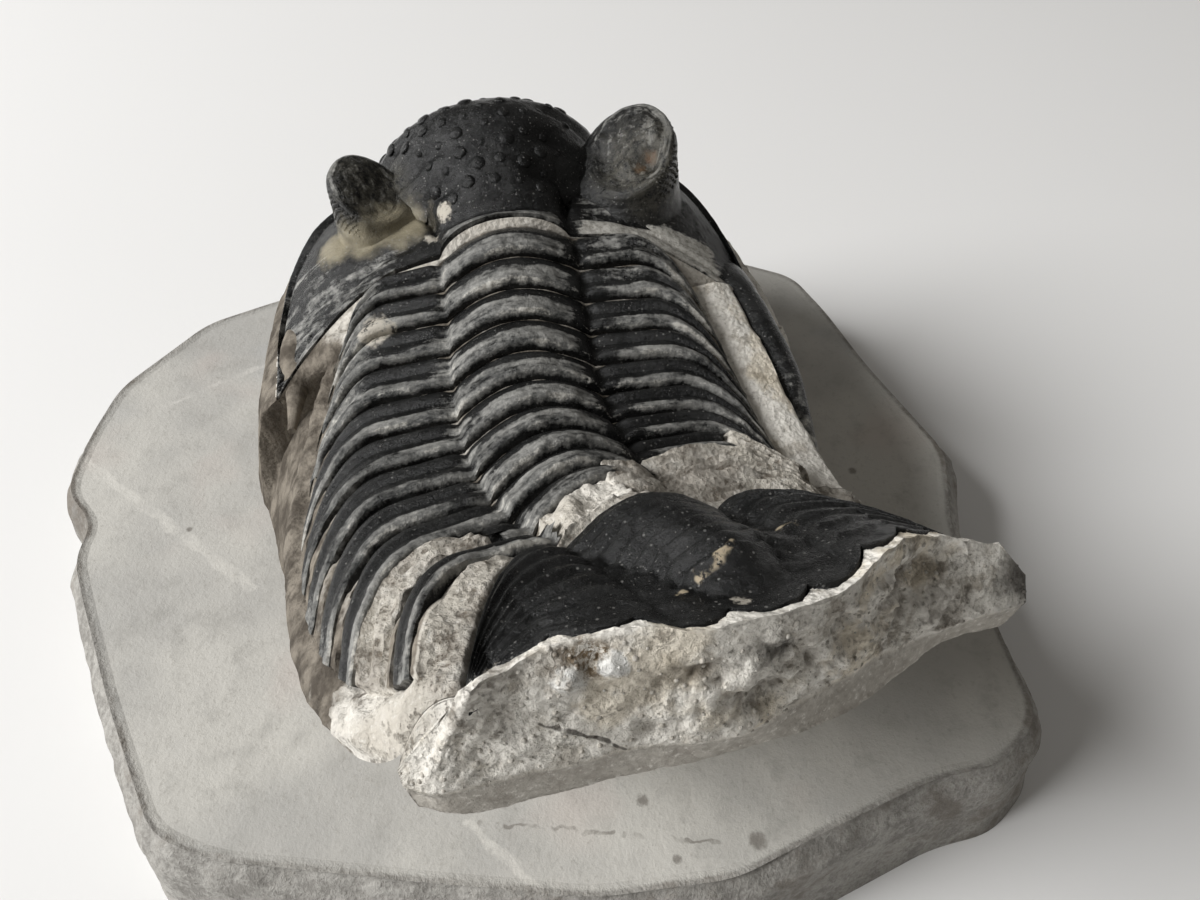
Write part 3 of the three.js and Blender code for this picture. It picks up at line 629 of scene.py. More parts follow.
def head_height(right, forward):
    side_way, front_way = np.abs(right) / HEAD_HALF, np.maximum(forward, 0) / HEAD_LENGTH
    vault = -HEAD_SIDE_DROP * side_way ** mix(2.5, 4.5, smooth(0, 8, forward))
    vault = vault - HEAD_FRONT_DROP * front_way ** 2.8
    inside = np.minimum(np.abs(right) / glabella_half(forward), 1)
    front = np.sqrt(np.maximum(1 - (np.maximum(forward - 12, 0) / 9) ** 2, 0))
    rise = mix(*GLABELLA_HEIGHT, smooth(1, 12.5, forward)) * front
    rise = rise - 0.9 * (1 - smooth(0, 1.4, np.abs(forward - 2.5)))
    dome = np.maximum(1 - inside ** 2.2, 0) ** 0.6
    return vault + dome * rise - side_furrows(inside, forward)


def head_place(across, along):
    """Right and forward in the head's own axes: across -1 to 1, along 0 neck to 1 front rim."""
    turn = across * np.pi / 2
    bow = RING_BOW * np.maximum(1 - (across * HEAD_HALF / AXIS_HALF[0]) ** 2, 0)
    cheek = np.maximum(np.abs(across * HEAD_HALF) - CHEEK_BEND, 0) / PLEURA_LENGTH[0]
    rear = 0.5 + bow - CHEEK_SWEEP * cheek ** 1.3
    right = mix(across * HEAD_HALF, np.sin(turn) * HEAD_HALF, along)
    front = np.maximum(np.cos(turn) * HEAD_LENGTH, rear + 0.8)
    return right, mix(rear, front, along)


def head_point(across, along, lift):
    right, forward = head_place(across, along)
    return place(HEAD, right, -forward, head_height(right, forward) + lift)


print("front of the head", head_point(0.0, 1.0, 0.0).round(2))

# %% [markdown]
# The finer relief: a raised border round the cheeks, a furrow behind it, the neck ring and
# a faint unevenness everywhere. Wear marks the crests and the cheeks that were scraped.

# %% Fine relief of the head shield
def head_relief(across, along, flat):
    right, forward = head_place(across, along)
    edge = np.minimum((1 - along) * 1.4, (1 - np.abs(across)) * 2.2)
    border = 0.42 * np.exp(-((edge - 0.03) / 0.05) ** 2) - 0.45 * np.exp(-((edge - 0.17) / 0.05) ** 2)
    behind = -0.35 * np.exp(-((along - 0.12) / 0.035) ** 2) * smooth(6, 8, np.abs(right))
    inside = np.abs(right) / glabella_half(forward)
    collar = -0.55 * np.exp(-((inside - 1.02) / 0.06) ** 2) * smooth(2, 4, forward)
    collar = collar * (1 - smooth(15, 18, forward))
    pits = 0.13 * rough(flat, 1.5, 31, 5, 0.6) + 0.16 * rough(flat, 3.6, 36, 2)
    return (border + behind) * smooth(0.0, 0.05, along) + collar + pits


def head_wear(across, along, flat):
    right, forward = head_place(across, along)
    drift = rough(flat, 4.0, 41, 3)
    neck = np.exp(-((forward - 1.1) / 0.9) ** 2) * (1 - smooth(4.0, 5.5, np.abs(right)))
    cheek = smooth(5, 7, right) * (1 - smooth(1.4, 3.4, forward)) * (1 - smooth(17, 19, right))
    between = smooth(4.5, 8, right) * (1 - smooth(9, 12, np.abs(right))) * (1 - smooth(9, 13, forward))
    left = smooth(-5, -9, right) * (1 - smooth(2.0, 5.0, forward)) * 0.45
    corner = smooth(-12, -17, right) * (1 - smooth(3, 11, forward))
    wear_and_painted_light = largest(neck, cheek, left, between * 0.5, corner * 0.55) + 0.3 * drift
    bare_and_sheen = largest(left * 0.3, cheek * 0.85, neck * 0.5, corner * 0.25) + 0.15 * drift
    return wear_and_painted_light, bare_and_sheen


def head_skin(skin):
    across = np.linspace(-1, 1, 241)[:, None]
    top = np.linspace(0, 1, 131)
    along = np.concatenate([top, np.linspace(1, 0, 9)])[None, :]
    upper = np.broadcast_to(np.arange(along.shape[1])[None, :] < len(top), (241, along.shape[1]))
    flat = head_point(across, along, 0.0)
    lift = np.where(upper, head_relief(across, along, flat), -SHELL)
    wear_and_painted_light, bare_and_sheen = head_wear(across, along, flat)
    right, forward = head_place(across, along)
    marks = marks_of(wear_and_painted_light * upper, bare_and_sheen * upper, 0.0, right, -forward)
    skin.grid(head_point(across, along, lift), marks, wrap=True, caps=True)


# %% [markdown]
# Each eye is a tower with a slight waist. Its lid is hollow and tilts: the rim is highest at
# the outer front and drops towards the glabella. The outward side carries the lenses.

# %% Eyes and genal spines
EYES = ((12.0, 7.5, 4.3, 5.4), (-10.6, 8.1, 3.3, 4.7))
EYE_BREADTH, EYE_LENGTH = 0.88, 1.08
LID_DROP, LID_TURN = 0.66, math.radians(35)
EYE_LEVELS = [0, 0.05, 0.14, 0.33, 0.55, 0.72, 0.84, 0.93, 0.98, 1.0, 1.01, 1.03, 1.08, 1.13, 1.15]
EYE_OUTER = [1.24, 1.16, 1.10, 1.05, 1.03, 1.03, 1.01, 0.97, 0.91, 0.84, 0.77, 0.68, 0.54, 0.34, 0.12]
EYE_INNER = [1.95, 1.84, 1.70, 1.50, 1.34, 1.22, 1.12, 1.03, 0.95, 0.87, 0.76, 0.63, 0.48, 0.30, 0.10]
EYE_PIT = ((12.3, 13.3, 38.8), 1.1, 1.1)


def eye_point(eye, turn, place_on_side):
    side, ahead, radius, tall = eye
    places = np.linspace(0, 1, len(EYE_LEVELS))
    level, outer, inner = (np.interp(place_on_side, places, row)
                           for row in (EYE_LEVELS, EYE_OUTER, EYE_INNER))
    width = radius * EYE_BREADTH * mix(inner, outer, smooth(-0.3, 0.3, np.cos(turn)))
    right = side + np.sign(side) * np.cos(turn) * width
    forward = ahead + np.sin(turn) * radius * EYE_LENGTH * outer
    fall = 0.5 - 0.5 * np.cos(turn - LID_TURN)
    inward = smooth(0.64, 1.0, place_on_side)
    fall = mix(fall, mix(0.5, fall, outer / 0.84), inward)
    tower = head_height(side, ahead) + level * tall * (1 - LID_DROP * fall)
    foot = head_height(right, forward) - 0.25
    up = np.maximum(mix(foot, tower, smooth(0, 0.22, level)), foot)
    return place(HEAD, right, -forward, up)


def eye_skin(skin, eye):
    steps = np.linspace(0, 1, 71)[:, None]
    turn = np.linspace(0, 2 * np.pi, 121)[None, :-1]
    flat = eye_point(eye, turn, steps)
    middle = flat.mean(axis=1, keepdims=True)
    shaped = middle + (flat - middle) * (1 + 0.05 * rough(flat, 2.2, 51, 4, 0.6))[..., None]
    centre, reach, depth = EYE_PIT
    away = np.linalg.norm(shaped - np.array(centre), axis=-1)
    lumps = 0.45 * rough(flat, 1.7, 53, 4, 0.6) * smooth(0.6, 0.7, steps)
    shaped = shaped + HEAD[3] * (lumps - depth * np.exp(-(away / reach) ** 2))[..., None]
    drift = 0.5 * rough(flat, 2.4, 52, 4)
    # The pale rim round each lid is a painted highlight, strongest at the lid's high outer front. It rides in the
    # same marks as the wear.
    rim = np.exp(-((steps - 0.64) / 0.09) ** 2) * (0.6 + 0.5 * np.cos(turn - LID_TURN))
    lid = smooth(0.68, 0.85, steps) * 0.22
    marks = marks_of(0.04 + 0.8 * rim + lid + drift, rim * 0.35 + drift * 0.4, 0.0, turn * eye[2], steps * 9)
    skin.grid(shaped, marks, wrap=True, caps=True)


def spine_skin(skin, side, length, root, stub):
    back = np.linspace(-4, length, 90)[:, None]
    spread = np.maximum(back, 0) / 20
    radius = 2.2 * (1 - 0.54 * (np.maximum(back, 0) / length) ** 1.5)
    radius = radius * mix(root, 1, smooth(-4.5, 3, back)) * mix(1, stub, smooth(-1, length, back))
    turn = np.linspace(0, 2 * np.pi, 49)[None, :-1]
    sink = 1.1 * stub * (1 - smooth(-4, 2, back)) + (1 - stub) * 2.0 * smooth(-1, length, back)
    right = side * (20.5 - 1.76 + 1.4 * smooth(0, 0.7, spread) + np.cos(turn) * radius * 0.85)
    up = -7.144 - 3.6 * spread ** 3 + np.sin(turn) * radius * 0.8 - sink
    flat = place(HEAD, right, back, up)
    drift = rough(flat, 2.4, 61, 4)
    far = smooth(length - 8, length, back)
    centre = flat.mean(axis=1, keepdims=True)
    flat = centre + (flat - centre) * (1 + 0.07 * rough(flat, 1.6, 62, 4))[..., None]
    marks = marks_of(0.2 + 0.55 * far + 0.7 * drift + (1 - stub), far * 0.4 + 0.4 * drift,
                     0.0, turn * 2 * (stub == 1), back)
    skin.grid(flat, marks, wrap=True, caps=True, paint=int(stub < 1))


def make_head():
    skin = Skin()
    head_skin(skin)
    for eye in EYES:
        eye_skin(skin, eye)
    spine_skin(skin, 1, 20, root=0.6, stub=1.0)
    spine_skin(skin, -1, 8, root=0.5, stub=0.40)
    return skin.make("shell_cephalon", [shell_material, stone_material])


head = make_head()
print("head shield with", len(EYES), "eyes and two spines")

# %% [markdown]
# The tail shield carries a ringed axis that ends in a rounded boss. Its sides have ribs that
# run parallel to the scalloped rim. All of it follows the same rules as the solid.

# %% The tail shield
TAIL_HALF, TAIL_LENGTH = 13.8, 13.0
TAIL_AXIS_HALF = 4.9
TAIL_BOSS = np.array([16.8, -29.0, 43.7])
TAIL_RINGS, TAIL_RIBS = 10, 7
TAIL = (np.array([10.7, -25.0, 39.3]),) + plate_axes(*np.radians([32.8, 39.7, 12.8]))


def tail_rim(across, depth):
    lobe = np.abs(np.sin(np.degrees(np.arcsin(across)) / 18 * np.pi + np.pi / 2))
    notch = (1 - lobe) ** 1.5 * depth * (1 - 0.5 * np.abs(across))
    return np.maximum(TAIL_LENGTH * np.sqrt(np.maximum(1 - across ** 2, 0)) - notch, 0.5)


def tail_point(across, along, lift, depth):
    side, furrow = np.abs(across), TAIL_AXIS_HALF / TAIL_HALF
    side_way = np.maximum((side - furrow) / (1 - furrow), 0)
    reach = tail_rim(across, depth) * along
    way = reach / TAIL_LENGTH
    in_axis = np.minimum(side / (furrow * (1 - 0.55 * np.minimum(way / 0.8, 1))), 1)
    crest = np.maximum(np.cos(in_axis * np.pi / 2), 0) ** AXIS_ROUND
    arch = 2.1 * (1 - 0.3 * way) * crest * np.clip((0.88 - way) / 0.14, 0, 1)
    bulge = 1.1 * np.sin(np.pi * side_way ** 0.7) * (1 - 0.6 * way)
    up = arch + bulge - 2.3 * side_way ** 1.8 - 1.2 * way ** 2
    back = reach + 9.2 * side_way ** 2 * (1 - way)
    return place(TAIL, across * TAIL_HALF, back, up + lift)


def tail_relief(across, along, flat):
    side = np.abs(across) * TAIL_HALF
    on_axis = 1 - smooth(-0.3, 0.3, side - TAIL_AXIS_HALF * (1 - 0.5 * along))
    on_axis = on_axis * (1 - smooth(0.72, 0.8, along))
    wander = 0.02 * rough(flat, 3.0, 73, 2)
    rings = 0.34 * (np.abs(np.sin((along + wander) * TAIL_RINGS * np.pi)) - 0.6)
    ribs = 0.40 * (np.abs(np.sin((along + wander + 0.1) * TAIL_RIBS * np.pi)) - 0.6) * (1 - 0.8 * along)
    fine = 0.08 * np.sin((along + 0.1) * TAIL_RIBS * 4 * np.pi + 0.8) * (1 - 0.7 * along)
    boss = 0.75 * np.exp(-(np.linalg.norm(flat - TAIL_BOSS, axis=-1) / 1.6) ** 2)
    fade = smooth(0, 0.07, along) * (1 - smooth(0.90, 0.98, np.abs(across)))
    return boss + fade * mix(ribs + fine, rings, on_axis) + 0.13 * rough(flat, 1.3, 71, 5, 0.62)


def make_tail():
    even = np.linspace(-1, 1, 221)[:, None]
    across = 0.75 * even + 0.25 * np.sin(even * np.pi / 2)
    top = np.linspace(0, 1, 131)
    along = np.concatenate([top, np.linspace(1, 0, 9)])[None, :]
    upper = np.broadcast_to(np.arange(along.shape[1])[None, :] < len(top), (221, along.shape[1]))
    flat = tail_point(across, along, 0.0, 0.9)
    lift = np.where(upper, tail_relief(across, along, flat), -SHELL)
    wear_and_painted_light = (-0.30 + 0.3 * rough(flat, 3.0, 72, 3)) * upper
    marks = marks_of(wear_and_painted_light, 0.0, 0.0, across * TAIL_HALF, 34 + along * tail_rim(across, 0.9))
    skin = Skin()
    skin.grid(tail_point(across, along, lift, 0.9), marks, wrap=True, caps=True)
    return skin.make("shell_pygidium", [shell_material])


tail = make_tail()
print("tail shield with", TAIL_RINGS, "rings and", TAIL_RIBS, "pairs of ribs")

# %% [markdown]
# The stone under the animal is one sheet that runs from below the head's front rim over the
# whole back to the lip of the tongue, and then a flank that drops from the sheet's edge to
# the slab. In the joints between plates the stone stands up as thin lines, painted dark as
# shade in the seams, and where shell is missing it rises as broken, grainy rock.

# %% Shape of the stone under the shell
STEPS = [-3, -2.5, -2, -1.88, -1.72, -1.55, -1.4, -1.18, -1, -0.78, -0.5, -0.22, 0]
SHEET_STEPS = STEPS + [-step for step in STEPS[-2::-1]]
CREASE = np.array([[-0.9, -39.4, 41], [1.7, -38.3, 44.7]])
TIP = np.array([[29.9, -26.7, 40.6], [32.2, -27.0, 37.8]])
WALL_EDGE = np.array([[-0.7, -39.9, 40.2], [2, -40.1, 40.6], [9.5, -38.4, 41], [15.3, -37.3, 40.6],
                      [21.8, -33, 39], [27.4, -29.9, 37.2], [32.4, -28, 36.5]])
WALL_LIP = np.array([[-0.2, -40.2, 38.6], [2.6, -40.3, 38.1], [9.5, -38.6, 38], [16.1, -37, 38],
                     [21.5, -34.4, 36.5], [27.5, -29.9, 35.2], [31.5, -28.5, 34.8]])
FOOT = np.array([[-16.8, -16.8], [-1.8, -25.5], [16.2, -21.8], [26.2, -10.8], [29.8, 4.2],
                 [27.8, 16.2], [18.2, 28.2], [0.2, 32], [-16.8, 26.2], [-24.8, 12.2],
                 [-25.2, 1], [-20.2, -10.8]])
FOOT_HEIGHT = 10.0
COLUMNS = 211
U = np.linspace(0, 1, COLUMNS)


def curve_through(points, count):
    padded = np.vstack([2 * points[0] - points[1], points, 2 * points[-1] - points[-2]])
    spot = np.linspace(0, len(points) - 1, count)
    start = np.minimum(spot.astype(int), len(points) - 2)
    t = (spot - start)[:, None]
    a, b, c, d = (padded[start + k] for k in range(4))
    return 0.5 * (2 * b + (c - a) * t + (2 * a - 5 * b + 4 * c - d) * t ** 2
                  + (3 * b - a - 3 * c + d) * t ** 3)


def tail_crest(along):
    """Stone that stands up round the ends of the tail shield and at its left corner."""
    column = U * 30
    right_end = np.exp(-((column - 28.15) / 0.32) ** 2) * smooth(0.6, 1, along)
    left_end = 1.4 * np.exp(-((column - 1.95) / 0.32) ** 2)
    corner = 1.2 * smooth(0, 0.5, column) * (1 - smooth(1.7, 2.1, column)) * (1 - smooth(0.4, 1, along))
    return largest(right_end, left_end, corner)


def tail_row(along, lift=UNDER):
    column = U * 30
    even = 2 * (column - 2) / 26 - 1
    across = np.clip(0.75 * even + 0.25 * np.sin(even * np.pi / 2), -1, 1)
    row = tail_point(across, along, UNDER, 0.0)
    ends = thorax_point(11.0, np.array([-3, -2.5, 2.5, 3]), UNDER)
    far = mix(ends, np.vstack([CREASE, TIP]), 0.3 + 0.7 * along)
    left, right = (tail_point(side, along, UNDER, 0.0) for side in (-1.0, 1.0))
    margins = ((column < 2, [0, 1, 2], np.vstack([far[:2], left])),
               (column > 28, [28, 29, 30], np.vstack([right, far[2:]])))
    for where, knots, corners in margins:
        for axis in range(3):
            row[:, axis] = np.where(where, np.interp(column, knots, corners[:, axis]), row[:, axis])
    return row + TAIL[3] * np.maximum(tail_crest(along), lift - UNDER)[:, None]


def sheet_lift(station, across):
    """Height of the stone, and how broken and how joint-like it is."""
    index = np.clip(station.astype(int), 0, SEGMENTS - 1)
    reach, left, right = np.abs(across), np.array(REACH_LEFT)[index], np.array(REACH_RIGHT)[index]
    beyond = np.maximum(across - right, -across - left)
    whole = np.where(across > 0, right, left) > 1.9
    flat = thorax_point(station, across, 0.0)
    outside = smooth(1.98, 2.06, reach)
    broken = smooth(0.02, 0.07, beyond) * ~whole * np.where(across > 0, 1, 1 - outside)
    ledge = np.where(whole, smooth(0.0, 0.04, beyond), outside) * (1 - smooth(2.75, 3, reach))
    half = (0.5 - PLATE_INSET) * (1 - TIP_TAPER * smooth(1.55, 2, reach))
    joint = (np.abs(np.mod(station, 1) - 0.5) > half + 0.01) * (beyond < 0.02)
    seam = mix(-0.80, -0.12, smooth(1.6, 1.9, reach)) + 0.22 * rough(flat, 1.2, 82, 3)
    right_bank = 0.85 - 0.35 * smooth(5.6, 6.6, station) + 0.8 * smooth(7, 9, station)
    bank = np.where(across > 0, right_bank, 1.25 - 0.9 * smooth(3.5, 6.5, station))
    coarse = np.where(across > 0, smooth(5.6, 7.2, station), smooth(7, 9.5, station))
    bank = -0.25 + bank * smooth(2.0, 2.45, reach) + (0.36 + 0.9 * coarse) * rough(flat, 1.6, 83, 5, 0.62)
    furrows = 0.24 * np.sin(station * 10 * np.pi + 4 * rough(flat, 6.0, 87, 2))
    lift = UNDER + 0.05 * rough(flat, 1.0, 81, 3)
    lift = mix(lift, seam, joint)
    hump = -0.12 + 0.5 * smooth(0.5, 1.4, across) + 0.85 * rough(flat, 2.6, 84, 5, 0.68)
    lift = mix(lift, hump + furrows, broken)
    lift = mix(lift, bank, ledge)
    return lift, broken, np.clip(joint, 0, 1)


def neck_rows(first, count=5):
    """Stone that fills the seam between the head's rear edge and the first plate."""
    rim = head_point(2 * U - 1, np.full(COLUMNS, -0.008), -0.30)
    return np.stack([mix(rim, first, t) for t in np.linspace(0, 1, count + 1)[:-1]])


def bridge(last, first, raised, count=14):
    """Broken stone between the last plate and the tail. raised: how high the two rows stand."""
    gap = smooth(0.3, 1.6, np.linalg.norm(first - last, axis=-1)) * smooth(0, 0.8, U * 30)
    rows = []
    for t in np.linspace(0, 1, count + 2)[1:-1]:
        flat = mix(last, first, t)
        plateau = smooth(0, 0.2, t) * (1 - smooth(0.84, 1, t)) * gap
        missing = np.maximum(0.95 - mix(*raised, t), -0.2) + 0.7 * rough(flat, 2.0, 88, 5, 0.68)
        rows.append(flat + TAIL[3] * (missing * plateau)[:, None])
    return np.stack(rows), gap


def tail_rows_and_wall():
    """The sheet under the tail stops short of its lobed rim, then rises against it."""
    column = U * 30
    even = 2 * (column - 2) / 26 - 1
    across = np.clip(0.75 * even + 0.25 * np.sin(even * np.pi / 2), -0.999, 0.999)
    shell = tail_rim(across, 0.9) / tail_rim(across, 0.0)
    inside = smooth(1.0, 1.9, column) * (1 - smooth(28.0, 29.0, column))
    alongs = np.concatenate([np.linspace(0, 0.86, 22), np.linspace(0.875, 1, 15), [1, 1, 1]])
    outs = np.concatenate([np.zeros(37), [0.16, 0.4, 0.7]])
    stand = 0.4 * (1 - smooth(2.4, 4.5, column)) - 0.05
    rows = []
    for along, out in zip(alongs, outs):
        raised = smooth(0.002, 0.012, along + out - shell) * inside
        crumbs = 0.45 * rough(tail_row(along), 2.4, 85, 5, 0.6)
        row = tail_row(along, mix(UNDER, stand + crumbs, raised))
        rows.append(row + TAIL[1] * (out * inside)[:, None])
    edge, lip = curve_through(WALL_EDGE, COLUMNS), curve_through(WALL_LIP, COLUMNS)
    wall = [mix(rows[-1], edge, t) for t in np.linspace(0, 1, 25)[1:]]
    face = [mix(edge, lip, t) for t in np.linspace(0, 1, 11)[1:]]
    return np.stack(rows), np.stack(wall), np.stack(face)


def lipped(rows):
    """Turns the outer edge up against the rim of the head, most of all on the left."""
    away = rows - HEAD[0]
    away[..., 2] = 0
    away = away / np.linalg.norm(away, axis=-1, keepdims=True)
    outer = np.zeros(rows.shape[:2])
    outer[0], outer[:, 0], outer[:, -1] = 1, 1, 1
    height = 0.35 + 0.65 * smooth(0.2, 0.8, -away[..., 0])
    return rows + away * (0.22 * outer)[..., None] + HEAD[3] * (height * outer)[..., None]


def soften(grid, weight, turns=60):
    """Rounds off the marked part of a grid by averaging each point with its neighbours."""
    for _ in range(turns):
        wide = np.pad(grid, ((1, 1), (1, 1), (0, 0)), mode="edge")
        middle = (wide[:-2, 1:-1] + wide[2:, 1:-1] + wide[1:-1, :-2] + wide[1:-1, 2:]) / 4
        grid = mix(grid, middle, weight[..., None])
    return grid


def stone_sheet():
    across = np.interp(U * 24, np.arange(25), SHEET_STEPS)[None, :]
    head_rows = lipped(head_point(2 * U[None, :] - 1, np.linspace(0.985, 0, 22)[:, None], UNDER - 0.15))
    offsets = [0, 0.03, 0.037, 0.12, 0.24, 0.36, 0.5, 0.64, 0.76, 0.88, 0.963, 0.97]
    station = np.array([n + k for n in range(SEGMENTS) for k in offsets])[:, None]
    station, across = np.broadcast_arrays(station, across)
    lift, broken, joint = sheet_lift(station, across)
    thorax_rows = thorax_point(station, across, lift)
    tail_rows, wall, face = tail_rows_and_wall()
    between, gap = bridge(thorax_rows[-1], tail_rows[0], (lift[-1] - UNDER, tail_crest(0.0)))
    parts = [head_rows, neck_rows(thorax_rows[0]), thorax_rows, between, tail_rows, wall, face]
    ends = np.cumsum([len(part) for part in parts])
    rows = np.zeros((ends[-1], COLUMNS, 4))
    scraped = smooth(-1.8, -2.1, across) * (1 - smooth(7, 10.5, station))
    # Painted light: the right ledge beside the front plates is made paler, as it tilts away from the lamp.
    pale_and_lit = smooth(2.0, 2.1, across) * (1 - smooth(2.8, 3, across)) * (1 - smooth(5.6, 7, station))
    rows[ends[1]:ends[2]] = np.stack([broken, joint, scraped, pale_and_lit], -1)
    # The neck seam takes a weaker share of the joints' painted seam shade.
    rows[ends[0]:ends[1], :, 1] = 0.3
    rows[ends[0]:ends[1], :, 2] = scraped[0]
    rows[ends[2]:ends[3], :, 0] = gap
    rows[ends[4]:ends[5], :, 0] = 0.45
    # The tongue's wall is paler stone, with painted light added towards its right, which faces away from the lamp.
    rows[ends[3] + 22:ends[5], :, 3] = 0.9 + 0.35 * smooth(0.45, 0.7, U)
    row, column = np.arange(ends[-1])[:, None], np.arange(COLUMNS)[None, :]
    corner = smooth(ends[2] - 10, ends[2] - 4, row) * (1 - smooth(ends[3] + 26, ends[4], row))
    corner = corner * (1 - smooth(11, 17, column)) * (column > 0)
    return soften(np.concatenate(parts), corner), ends, rows


def normals(grid):
    down, along = np.gradient(grid, axis=0), np.gradient(grid, axis=1)
    normal = np.cross(down, along)
    length = np.linalg.norm(normal, axis=-1, keepdims=True)
    return normal / np.maximum(length, 1e-9)


def foot_of(points):
    x, y = points[:, 0], points[:, 1]
    foot = np.zeros((len(points), 3))
    for (ax, ay), (bx, by) in zip(FOOT, np.roll(FOOT, -1, axis=0)):
        cross = x * (by - ay) - y * (bx - ax)
        scale = (ax * (by - ay) - ay * (bx - ax)) / cross
        share = (y * ax - x * ay) / cross
        hit = (scale > 0) & (share >= -1e-9) & (share <= 1 + 1e-9)
        foot[hit] = np.stack([x * scale, y * scale, 0 * x + FOOT_HEIGHT], -1)[hit]
    return foot


sheet, sheet_ends, sheet_state = stone_sheet()
print("sheet of", sheet.shape[0], "rows and", sheet.shape[1], "columns")


# %% [markdown]
# Broken limestone is rough at every scale, so each point is pushed along the surface by a
# sum of noises. The stone under the shell stays calm, or it would poke through. The front
# face of the tongue and the left flank were ground smoother than the rest.

# %% Rough surface of the stone
def outward(grid, wrap=False):
    if not wrap:
        return normals(grid)
    return normals(np.concatenate([grid[:, -2:], grid, grid[:, :2]], axis=1))[:, 2:-2]


def sheet_roughness():
    rows, columns = np.arange(len(sheet))[:, None], np.arange(COLUMNS)[None, :]
    thorax_end, tail_end, wall_end = sheet_ends[3], sheet_ends[4], sheet_ends[5]
    margin = np.maximum(1 - smooth(10, 16, columns), smooth(COLUMNS - 17, COLUMNS - 11, columns))
    beside_tail = margin * smooth(thorax_end, thorax_end + 8, rows)
    wall = smooth(tail_end, tail_end + 4, rows)
    face = smooth(wall_end - 2, wall_end + 2, rows)
    edge = np.minimum(np.maximum(beside_tail, wall), 1)
    tip = 1 - 0.8 * smooth(COLUMNS - 21, COLUMNS - 8, columns) - 0.45 * (1 - smooth(8, 20, columns))
    return 0.04 + edge * mix(0.55, 0.18, face) * tip, edge, face


def tongue_lumps():
    rows, x = np.arange(len(sheet))[:, None], sheet[..., 0]
    tail_end, wall_end = sheet_ends[4], sheet_ends[5]
    rough_part = smooth(tail_end + 2, tail_end + 8, rows) * (1 - smooth(wall_end - 5, wall_end - 1, rows))
    rough_part = rough_part * smooth(8, 14, x) * (1 - smooth(27, 30, x))
    return 1.5 * rough(sheet, 2.6, 98, 4, 0.62) * rough_part


def near(centre, reach):
    return np.exp(-(np.linalg.norm(sheet - np.array(centre), axis=-1) / reach) ** 2)


def rough_sheet():
    amount, edge, face = sheet_roughness()
    normal = outward(sheet)
    normal = normal * np.sign(normal[..., 2:3].mean())
    push = 0.75 * rough(sheet, 1.5, 91, 5, 0.72) + 0.6 * rough(sheet, 6.5, 92, 2)
    lumps = tongue_lumps()
    push = push * amount + lumps - 0.3 * near(CAVITY, 0.8) + sum(0.6 * near(chip, 0.55) for chip in CHIPS)
    grid = sheet + normal * push[..., None]
    broken, joint, scraped, pale_and_lit = (sheet_state[..., k] for k in range(4))
    grain = np.clip(edge * (1 - face) + broken + (1 - edge) * 0.5, 0, 1) * (1 - 0.4 * joint)
    drift = 0.35 * rough(sheet, 3.0, 86, 2)
    # The joints are painted dark brown as shade in the seams.
    wear_and_painted_light = largest(scraped * (0.9 + drift), joint * (0.55 + drift) * (1 - broken))
    return grid, marks_of(wear_and_painted_light, broken, grain, pale_and_lit, smooth(0.05, -0.40, lumps))


def loop_of(grid):
    return np.concatenate([grid[0], grid[1:-1, -1], grid[-1][::-1], grid[1:-1, 0][::-1]])


def flank(rim):
    foot = foot_of(rim)
    kernel = np.ones(25) / 25
    foot = np.stack([np.convolve(np.concatenate([foot[-12:, k], foot[:, k], foot[:12, k]]), kernel,
                                 mode="valid") for k in range(3)], -1)
    level = np.concatenate([np.linspace(0, 0.12, 10), np.linspace(0.12, 1, 38)[1:]])[:, None, None]
    inward = np.where(level < 0.12, level / 0.12 * 0.12 ** 0.55, level ** 0.55)
    ring = mix(rim[None], foot[None], inward)
    ring[..., 2] = mix(rim[None, :, 2], FOOT_HEIGHT, level[..., 0])
    return ring, level[..., 0]


def rough_flank(rim):
    ring, level = flank(rim)
    normal = outward(ring, wrap=True)
    middle = ring.mean(axis=(0, 1))
    normal = normal * np.sign(((ring - middle) * normal).sum(-1).mean())
    left = smooth(-8, -15, ring[..., 0]) * smooth(-32, -24, ring[..., 1])
    streaks = rough(ring * np.array([1, 1, 0.16]), 2.2, 95, 3) * 0.22
    broken = 0.35 * rough(ring, 7.0, 93, 2) + 0.36 * rough(ring, 1.8, 94, 5, 0.68)
    push = mix(broken, streaks + 0.12 * rough(ring, 1.5, 96, 3), left)
    under_lip = smooth(-18, -30, ring[..., 1]) * (1 - smooth(0.05, 0.2, level))
    push = push * (1 - 0.6 * under_lip) * smooth(0, 0.05, level)
    border = ring[..., 0] + 5.0 * rough(ring, 8.0, 97, 4)
    stained = smooth(-3, -20, border) * smooth(-32, -24, ring[..., 1])
    marks = marks_of(stained * 0.95 * (1 - smooth(0.9, 1.0, level)), 0.0, 0.75 - 0.6 * under_lip - 0.3 * left)
    return ring + normal * push[..., None], marks


def make_pedestal():
    grid, marks = rough_sheet()
    rings, ring_marks = rough_flank(loop_of(grid))
    skin = Skin()
    skin.grid(grid, marks)
    skin.grid(rings, ring_marks, wrap=True)
    last = rings[-1]
    spokes = [[len(last), i, (i + 1) % len(last)] for i in range(len(last))]
    skin.add(np.vstack([last, last.mean(axis=0)]), spokes)
    return skin.make("stone_pedestal", [stone_material], crease=75)


pedestal = make_pedestal()
print("pedestal made")

# %% [markdown]
# The slab is what is left of the block the fossil came in: nearly flat on top, broken round
# its edge with a rough bevel, and sawn flat underneath.

